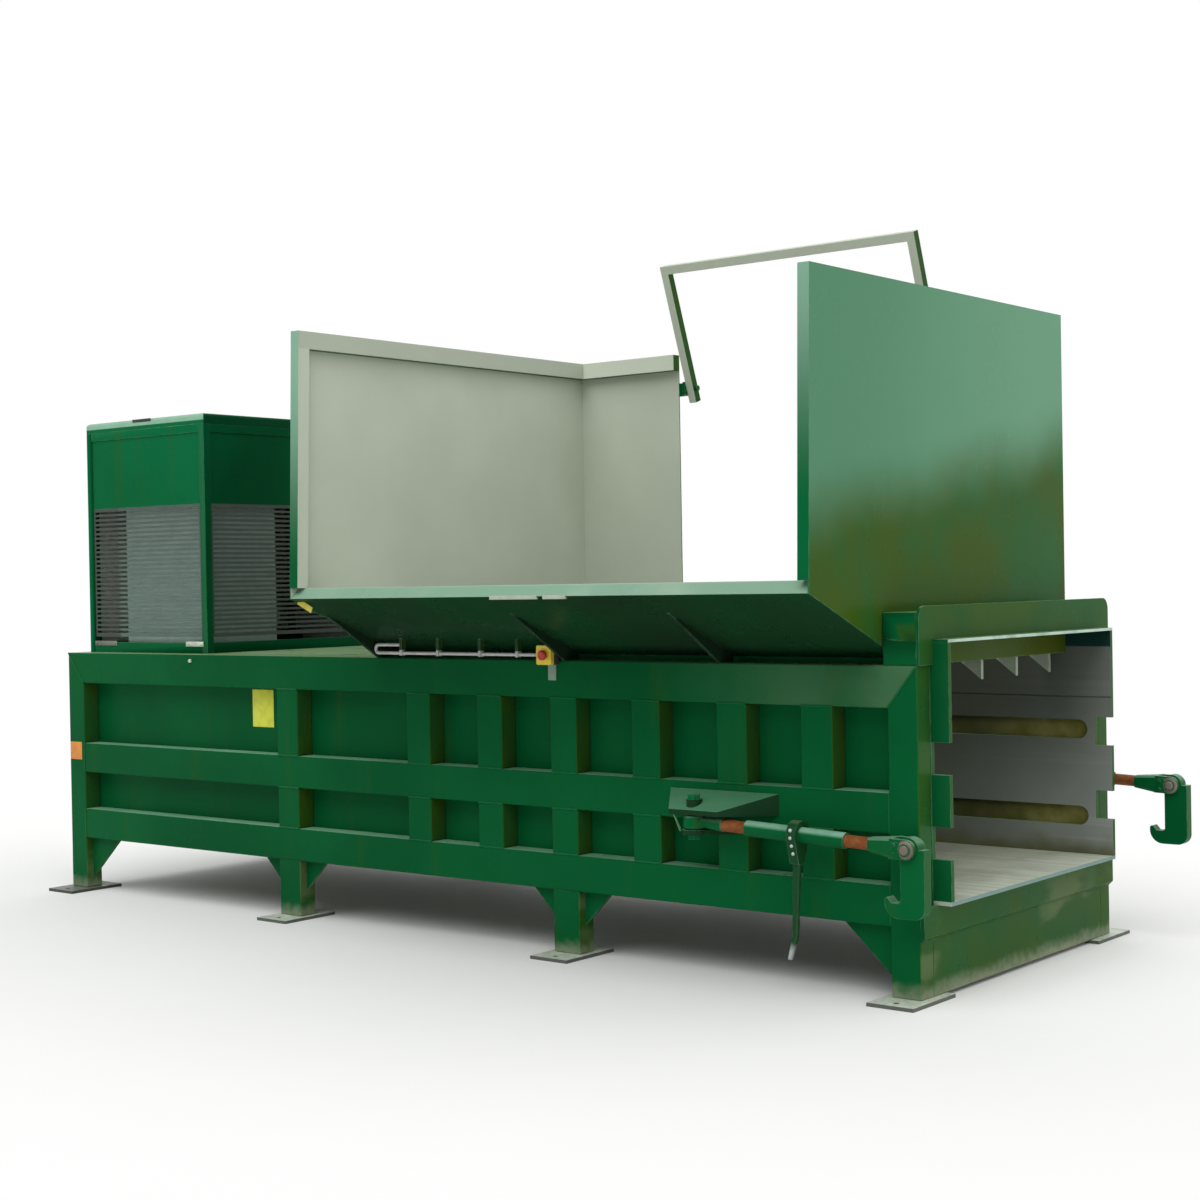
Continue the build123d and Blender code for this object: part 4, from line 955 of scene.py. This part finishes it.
def weld_bead(bm, start, end):
    """A rippled bead between two points."""
    start, end = Vector(start), Vector(end)
    axis = end - start
    count = max(2, int(axis.length / RIPPLE) * 2)
    turn = axis.to_track_quat("Z", "Y").to_matrix()
    rings = []
    for i in range(count + 1):
        swell = BEAD if i % 2 else BEAD_DIP
        if i in (0, count):
            swell = BEAD_END
        rings.append(ring(bm, start + axis * (i / count), turn, swell, BEAD_CORNERS))
    bridge(bm, rings)


def islands(node):
    """Boxes of the separate solids of a CAD node, as (low, high) pairs."""
    bm = bmesh.new()
    bm.from_mesh(nodes[node].data)
    bmesh.ops.remove_doubles(bm, verts=bm.verts, dist=MERGE)
    left = set(bm.verts)
    boxes = []
    while left:
        stack = [left.pop()]
        group = []
        while stack:
            vert = stack.pop()
            group.append(vert.co.copy())
            for edge in vert.link_edges:
                other = edge.other_vert(vert)
                if other in left:
                    left.remove(other)
                    stack.append(other)
        low = Vector([min(c[i] for c in group) for i in range(3)])
        high = Vector([max(c[i] for c in group) for i in range(3)])
        boxes.append((low, high))
    bm.free()
    return boxes


# Inner posts of the operator's side, and heights of the lower rails, which the welds follow
POSTS = [b for b in islands("inner_posts") if b[0].y < 0]
POST_XS = sorted({round((low.x + high.x) / 2, 4) for low, high in POSTS})
POST_HALF = (POSTS[0][1].x - POSTS[0][0].x) / 2
POST_ENDS = sorted({round(z, 4) for low, high in POSTS for z in (low.z, high.z)})
RAIL_EDGES = sorted({(round(low.z, 4), round(high.z, 4)) for low, high in islands("lower_rails")})


def frame_welds():
    """Beads where rails, posts, legs and gussets meet, on both sides."""
    bm = bmesh.new()
    rail_low, rail_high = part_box("top_rails")
    lower_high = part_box("lower_rails")[1]
    for face in (rail_low.y, rail_high.y):
        for end in (-1, 1):
            outer = rail_high.x * end
            inner = lower_high.x * end
            weld_bead(bm, (outer, face, rail_high.z), (inner, face, rail_low.z))
            for z in RAIL_EDGES:
                weld_bead(bm, (inner, face, z[0]), (inner, face, z[1]))
        for x in POST_XS:
            for z in POST_ENDS:
                weld_bead(bm, (x - POST_HALF, face, z), (x + POST_HALF, face, z))
    paint = green_paint("weld_paint", GREEN_FRESH, GREEN, 0.3)
    mesh_piece("frame_welds", bm, paint, STATIC)


def plate(bm, low, high):
    """A square plate between two corners."""
    low, high = Vector(low), Vector(high)
    made = bmesh.ops.create_cube(bm, size=1.0)
    size = high - low
    centre = (low + high) / 2
    matrix = Matrix.Translation(centre) @ Matrix.Diagonal((*size, 1.0))
    bmesh.ops.transform(bm, matrix=matrix, verts=made["verts"])


def rounded(piece, width, segments=2):
    """Round the edges of a piece."""
    bevel = piece.modifiers.new("edges", "BEVEL")
    bevel.width = width
    bevel.segments = segments
    bevel.limit_method = "ANGLE"
    return piece


# Studs: corners of the section, and rings as shares of the radius and of the height
STUD_CORNERS = 16
STUD_SHARES = ((1.0, -0.3), (1.0, 0.55), (0.72, 0.92), (0.30, 1.0))


def stud(bm, seat, along, radius, height):
    """A round-headed stud: a short collar under a chamfered top."""
    turn = Vector(along).to_track_quat("Z", "Y").to_matrix()
    rings = []
    for share, level in STUD_SHARES:
        centre = Vector(seat) + turn @ Vector((0.0, 0.0, level * height))
        rings.append(ring(bm, centre, turn, radius * share, STUD_CORNERS))
    bridge(bm, rings)


# Bare plates on the operator's side: (x0, x1, z0, z1)
PANEL_LABEL = (-1.251, -1.094, 0.932, 1.122)
POST_MARK = (-2.640, -2.540, 0.715, 0.811)
LABEL_T = 0.0015
# Rivets in their corners: radius, height and distance from the edges
RIVET_R = 0.003
RIVET_H = 0.0016
RIVET_IN = 0.008


def riveted_plate(bm, x0, x1, z0, z1, seat):
    """A thin plate on a face that looks along -Y, with a rivet in each corner."""
    plate(bm, (x0, seat - LABEL_T, z0), (x1, seat, z1))
    for x in (x0 + RIVET_IN, x1 - RIVET_IN):
        for z in (z0 + RIVET_IN, z1 - RIVET_IN):
            stud(bm, (x, seat - LABEL_T, z), (0.0, -1.0, 0.0), RIVET_R, RIVET_H)


def bare_plates():
    """A blank yellow plate in the first panel and a blank orange mark on the rear post."""
    for name, sides, carrier, finish in (
        ("panel_label", PANEL_LABEL, "side_plates", "label_yellow"),
        ("post_mark", POST_MARK, "end_posts", "mark_orange"),
    ):
        bm = bmesh.new()
        riveted_plate(bm, *sides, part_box(carrier)[0].y)
        rounded(mesh_piece(name, bm, enamel(finish), STATIC), LABEL_EDGE)


# Ratchet studs: place along the binder's screw, and their rises and reaches from its axis
RATCHET_ALONG = 0.500
RATCHET_STUDS = ((0.022, 0.0515), (-0.008, 0.0535), (-0.040, 0.0435), (-0.072, 0.0335))
RATCHET_STUD_R = 0.0075
RATCHET_STUD_H = 0.006


def ratchet_studs():
    """Bright studs down the outer side of each ratchet head."""
    steel = worn_steel("stud_steel", STUD_STEEL, 0.32, 0.6)
    for side, outward in SIDES:
        pivot = PIVOTS[f"{side}_binder"]
        x = pivot.x + RATCHET_ALONG * math.cos(BINDER_DROOP)
        z = pivot.z - RATCHET_ALONG * math.sin(BINDER_DROOP)
        bm = bmesh.new()
        for rise, reach in RATCHET_STUDS:
            seat = (x, pivot.y + outward * reach, z + rise)
            stud(bm, seat, (0.0, outward, 0.0), RATCHET_STUD_R, RATCHET_STUD_H)
        mesh_piece(f"{side}_ratchet_studs", bm, steel, f"{side}_handle")


# Hook pins: reach of the fork's cheek from the binder's axis, washer and end cap
CHEEK_REACH = 0.0442
PIN_REACH = 0.0545
WASHER_R = 0.036
WASHER_H = 0.005
PIN_CAP_R = 0.019
PIN_CAP_H = 0.004
# Keeper plates that lock the pins: ends and half-height from the pin, thickness, and bolts
KEEPER_X = (-0.060, -0.022)
KEEPER_HALF = 0.029
KEEPER_T = 0.004
KEEPER_BOLT_R = 0.006
KEEPER_BOLT_RISE = 0.6 * KEEPER_HALF
# Stays between the bracket plates: ends from the bracket bolt, reach outward, thickness and steps
STAY_TOP = (-0.082, 0.050)
STAY_FOOT = (-0.040, -0.037)
STAY_REACH = (0.034, 0.046)
STAY_T = 0.005
STAY_STEPS = 4


def hook_pin(side, steel):
    """Washers and end caps on a hook pin."""
    pin = PIVOTS[f"{side}_hook"]
    bm = bmesh.new()
    for way in (-1.0, 1.0):
        along = (0.0, way, 0.0)
        stud(bm, (pin.x, pin.y + way * CHEEK_REACH, pin.z), along, WASHER_R, WASHER_H)
        stud(bm, (pin.x, pin.y + way * PIN_REACH, pin.z), along, PIN_CAP_R, PIN_CAP_H)
    mesh_piece(f"{side}_pin_washers", bm, steel, f"{side}_fork")


def pin_keepers(side, paint):
    """A keeper plate with two bolts on each side of a hook pin."""
    pin = PIVOTS[f"{side}_hook"]
    bm = bmesh.new()
    for way in (-1.0, 1.0):
        seat = pin.y + way * CHEEK_REACH
        front = seat + way * KEEPER_T
        y0, y1 = sorted((seat, front))
        low = (pin.x + KEEPER_X[0], y0, pin.z - KEEPER_HALF)
        high = (pin.x + KEEPER_X[1], y1, pin.z + KEEPER_HALF)
        plate(bm, low, high)
        for rise in (-KEEPER_BOLT_RISE, KEEPER_BOLT_RISE):
            bolt_at = (pin.x + KEEPER_X[0] + 2.0 * KEEPER_BOLT_R, front, pin.z + rise)
            stud(bm, bolt_at, (0.0, way, 0.0), KEEPER_BOLT_R, KEEPER_BOLT_R)
    rounded(mesh_piece(f"{side}_pin_keepers", bm, paint, f"{side}_fork"), SHEET_EDGE)


def bracket_stay(side, outward, paint):
    """A slanting flat stay between the plates of a bracket."""
    bolt = PIVOTS[f"{side}_binder"]
    top = Vector((bolt.x + STAY_TOP[0], 0.0, bolt.z + STAY_TOP[1]))
    foot = Vector((bolt.x + STAY_FOOT[0], 0.0, bolt.z + STAY_FOOT[1]))
    across = (foot - top).cross(Vector((0.0, 1.0, 0.0))).normalized() * (STAY_T / 2)
    bm = bmesh.new()
    rings = []
    for i in range(STAY_STEPS + 1):
        centre = top.lerp(foot, i / STAY_STEPS)
        corners = []
        for reach, turn in ((0, -1), (1, -1), (1, 1), (0, 1)):
            y = bolt.y + outward * STAY_REACH[reach]
            corners.append(bm.verts.new(centre + across * turn + Vector((0.0, y, 0.0))))
        rings.append(corners)
    bridge(bm, rings)
    bmesh.ops.recalc_face_normals(bm, faces=bm.faces)
    rounded(mesh_piece(f"{side}_bracket_stay", bm, paint, STATIC), STRIP_EDGE)


def binder_fittings():
    """Pin washers, keepers and a bracket stay on both binders."""
    rusty = worn_steel("pin_steel", PIN_STEEL, 0.5, 0.2)
    keeper_paint = green_paint("keeper_paint", GREEN, GREEN_DEEP, 0.3, 0.2, 0.0)
    stay_paint = green_paint("stay_paint", STAY_GREEN, STAY_SHADE, 0.35, 0.3, 0.0)
    for side, outward in SIDES:
        hook_pin(side, rusty)
        pin_keepers(side, keeper_paint)
        bracket_stay(side, outward, stay_paint)


# Screen clips on the housing's base rail: ends along the body, heights and thickness
CLIPS = ((-2.549, -2.360), (-1.780, -1.640))
CLIP_Z = (1.336, 1.362)
CLIP_T = 0.003
CLIP_STUD_R = 0.007
# Stud on the top rail
RAIL_STUD = (-1.613, 1.267)
RAIL_STUD_R = 0.010
RAIL_STUD_H = 0.012


def housing_fittings():
    """Clips that hold the near screen, and a stud on the top rail below the housing."""
    zinc = galvanised("fitting_zinc")
    frame_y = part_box("pack_frame")[0].y
    bm = bmesh.new()
    for x0, x1 in CLIPS:
        plate(bm, (x0, frame_y - CLIP_T, CLIP_Z[0]), (x1, frame_y, CLIP_Z[1]))
        for x in (x0 + 2.0 * CLIP_STUD_R, x1 - 2.0 * CLIP_STUD_R):
            stud(bm, (x, frame_y - CLIP_T, sum(CLIP_Z) / 2), (0.0, -1.0, 0.0), CLIP_STUD_R, CLIP_T)
    rounded(mesh_piece("screen_clips", bm, zinc, STATIC), SHEET_EDGE)
    bm = bmesh.new()
    seat = (RAIL_STUD[0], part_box("top_rails")[0].y, RAIL_STUD[1])
    stud(bm, seat, (0.0, -1.0, 0.0), RAIL_STUD_R, RAIL_STUD_H)
    mesh_piece("rail_stud", bm, zinc, STATIC)


# Vent slot in the roof's front edge: ends along the body and depth below the roof
VENT_X = (-2.191, -2.039)
VENT_DEPTH = 0.016
VENT_T = 0.002


def roof_vent():
    """A dark rubber-lined slot in the front edge of the roof."""
    low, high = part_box("pack_roof")
    bm = bmesh.new()
    plate(bm, (VENT_X[0], low.y - VENT_T, high.z - VENT_DEPTH), (VENT_X[1], low.y + VENT_T, high.z))
    rubber = enamel("vent_rubber")
    rounded(mesh_piece("roof_vent", bm, rubber, STATIC), STRIP_EDGE)


# Bare strips under the chute's lip, and a tilted yellow tag that hangs from its rear end
LIP_STRIPS = ((0.932, 1.189), (1.221, 1.342))
STRIP_DROP = 0.012
STRIP_DEPTH = 0.012
STRIP_LAP = 0.004
STRIP_RIVET_R = 0.003
STRIP_RIVET_IN = 0.015
TAG_CENTRE = (-0.222, -0.032)
TAG_SIZE = (0.098, 0.028)
TAG_TILT = 25.0
TAG_BACK = 0.036
TAG_T = 0.003


def lip_fittings():
    """Blank strips and a blank tag under the chute's lip."""
    low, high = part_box("chute")
    under = high.z - LIP_FOLD
    bm = bmesh.new()
    for x0, x1 in LIP_STRIPS:
        plate(bm, (x0, low.y, under - STRIP_DROP), (x1, low.y + STRIP_DEPTH, under + STRIP_LAP))
        for x in (x0 + STRIP_RIVET_IN, x1 - STRIP_RIVET_IN):
            stud(bm, (x, low.y, under - STRIP_DROP / 2), (0.0, -1.0, 0.0), STRIP_RIVET_R, RIVET_H)
    strip_tone = enamel("strip_paint")
    rounded(mesh_piece("lip_strips", bm, strip_tone, STATIC), STRIP_EDGE)
    bm = bmesh.new()
    half_x, half_z = TAG_SIZE[0] / 2, TAG_SIZE[1] / 2
    plate(bm, (-half_x, 0.0, -half_z), (half_x, TAG_T, half_z))
    stud(bm, (-half_x + half_z, 0.0, 0.0), (0.0, -1.0, 0.0), STRIP_RIVET_R, RIVET_H)
    tilt = Matrix.Rotation(math.radians(TAG_TILT), 4, "Y")
    spot = Matrix.Translation((TAG_CENTRE[0], low.y + TAG_BACK, under + TAG_CENTRE[1]))
    bmesh.ops.transform(bm, matrix=spot @ tilt, verts=bm.verts)
    yellow = enamel("tag_yellow")
    rounded(mesh_piece("lip_tag", bm, yellow, STATIC), STRIP_EDGE)


# Studio floor: radius, corners, tone and how dark its mottling is
FLOOR_RADIUS = 60.0
FLOOR_CORNERS = 96
FLOOR_TONE = (0.83, 0.83, 0.82)
FLOOR_MOTTLE = 0.98
# Scale of each axis in the distance from the middle, and where in that distance the floor turns white
FLOOR_SQUEEZE = (0.62, 1.0, 1.0)
FLOOR_FADE = (2.5, 5.0)


def seen_directly(g):
    """1 for camera, glossy and transmission rays."""
    path = g.add("ShaderNodeLightPath")
    either = g.math("MAXIMUM", path.outputs["Is Camera Ray"], path.outputs["Is Glossy Ray"])
    return g.math("MAXIMUM", either, path.outputs["Is Transmission Ray"])


def studio_floor():
    """A plain pale floor that runs out to white."""
    bm = bmesh.new()
    bmesh.ops.create_circle(bm, cap_ends=True, segments=FLOOR_CORNERS, radius=FLOOR_RADIUS)
    mesh = bpy.data.meshes.new("studio_floor")
    bm.to_mesh(mesh)
    bm.free()
    floor = bpy.data.objects.new("studio_floor", mesh)
    scene.collection.objects.link(floor)
    g = Graph("floor_tone")
    mottled = g.mix(g.noise(3.0), FLOOR_TONE, tuple(FLOOR_MOTTLE * c for c in FLOOR_TONE))
    g.set(Base_Color=mottled, Roughness=0.9, Specular_IOR_Level=0.1)
    distance = g.add("ShaderNodeVectorMath", "LENGTH")
    g.feed(distance.inputs[0], g.stretched(FLOOR_SQUEEZE))
    far = g.span(distance.outputs["Value"], *FLOOR_FADE)
    white = g.add("ShaderNodeEmission")
    both = g.add("ShaderNodeMixShader")
    g.feed(both.inputs[0], g.times(far, seen_directly(g)))
    g.feed(both.inputs[1], g.shader.outputs["BSDF"])
    g.feed(both.inputs[2], white.outputs["Emission"])
    g.feed(g.output.inputs["Surface"], both.outputs["Shader"])
    mesh.materials.append(g.material)


# The studio is white behind and above the object, and grey behind the camera
BRIGHT_SIDE = (0.35, 0.85, 0.38)
ROOM_FADE = (-0.35, 0.35)
STUDIO_WHITE = (1.0, 1.0, 1.0)
STUDIO_GREY = (0.27, 0.275, 0.28)
KEY_FROM = (0.12, -0.62, 0.95)
KEY_STRENGTH = 1.8
KEY_ANGLE = 55.0


def studio_light():
    """A soft key from the front left, in a room that is white behind the object."""
    scene.world = bpy.data.worlds.new("studio")
    scene.world.use_nodes = True
    room = Nodes(scene.world.node_tree)
    direction = room.add("ShaderNodeTexCoord").outputs["Generated"]
    bright = room.span(room.dot(direction, BRIGHT_SIDE), *ROOM_FADE)
    tone = room.mix(bright, STUDIO_GREY, STUDIO_WHITE)
    background = room.add("ShaderNodeBackground")
    room.feed(background.inputs["Color"], room.mix(seen_directly(room), tone, STUDIO_WHITE))
    output = room.add("ShaderNodeOutputWorld")
    room.feed(output.inputs["Surface"], background.outputs["Background"])

    lamp = bpy.data.lights.new("key", "SUN")
    lamp.energy = KEY_STRENGTH
    lamp.angle = math.radians(KEY_ANGLE)
    key = bpy.data.objects.new("key", lamp)
    key.rotation_mode = "QUATERNION"
    key.rotation_quaternion = (-Vector(KEY_FROM)).to_track_quat("-Z", "Y")
    scene.collection.objects.link(key)


# Camera fitted to the photograph: place, heading from +Y, tilt down, roll and focal length in pixels
CAMERA_PLACE = (6.3639, -7.4438, 1.6511)
CAMERA_AZIMUTH = 38.6
CAMERA_TILT = 0.6
CAMERA_ROLL = -1.0
CAMERA_FOCUS_PX = 1956.0
IMAGE_PX = 1200.0
SENSOR_MM = 36.0
VIEW_END = 200.0


def photo_camera():
    """The camera of the photograph."""
    azimuth, tilt, roll = (math.radians(a) for a in (CAMERA_AZIMUTH, CAMERA_TILT, CAMERA_ROLL))
    level = Vector((-math.sin(azimuth), math.cos(azimuth), 0.0)) * math.cos(tilt)
    ahead = level - Vector((0.0, 0.0, math.sin(tilt)))
    right = Vector((math.cos(azimuth), math.sin(azimuth), 0.0))
    up = right.cross(ahead)
    turned_right = math.cos(roll) * right + math.sin(roll) * up
    turned_up = -math.sin(roll) * right + math.cos(roll) * up
    lens = bpy.data.cameras.new("photo_camera")
    lens.sensor_width = SENSOR_MM
    lens.lens = SENSOR_MM * CAMERA_FOCUS_PX / IMAGE_PX
    lens.clip_end = VIEW_END
    camera = bpy.data.objects.new("photo_camera", lens)
    rotation = Matrix((turned_right, turned_up, -ahead)).transposed()
    camera.matrix_world = Matrix.Translation(CAMERA_PLACE) @ rotation.to_4x4()
    scene.collection.objects.link(camera)
    scene.camera = camera


finish_nodes()
shape_nodes()
frame_welds()
bare_plates()
ratchet_studs()
binder_fittings()
housing_fittings()
roof_vent()
lip_fittings()
studio_floor()
studio_light()
photo_camera()
scene.view_settings.view_transform = "Standard"
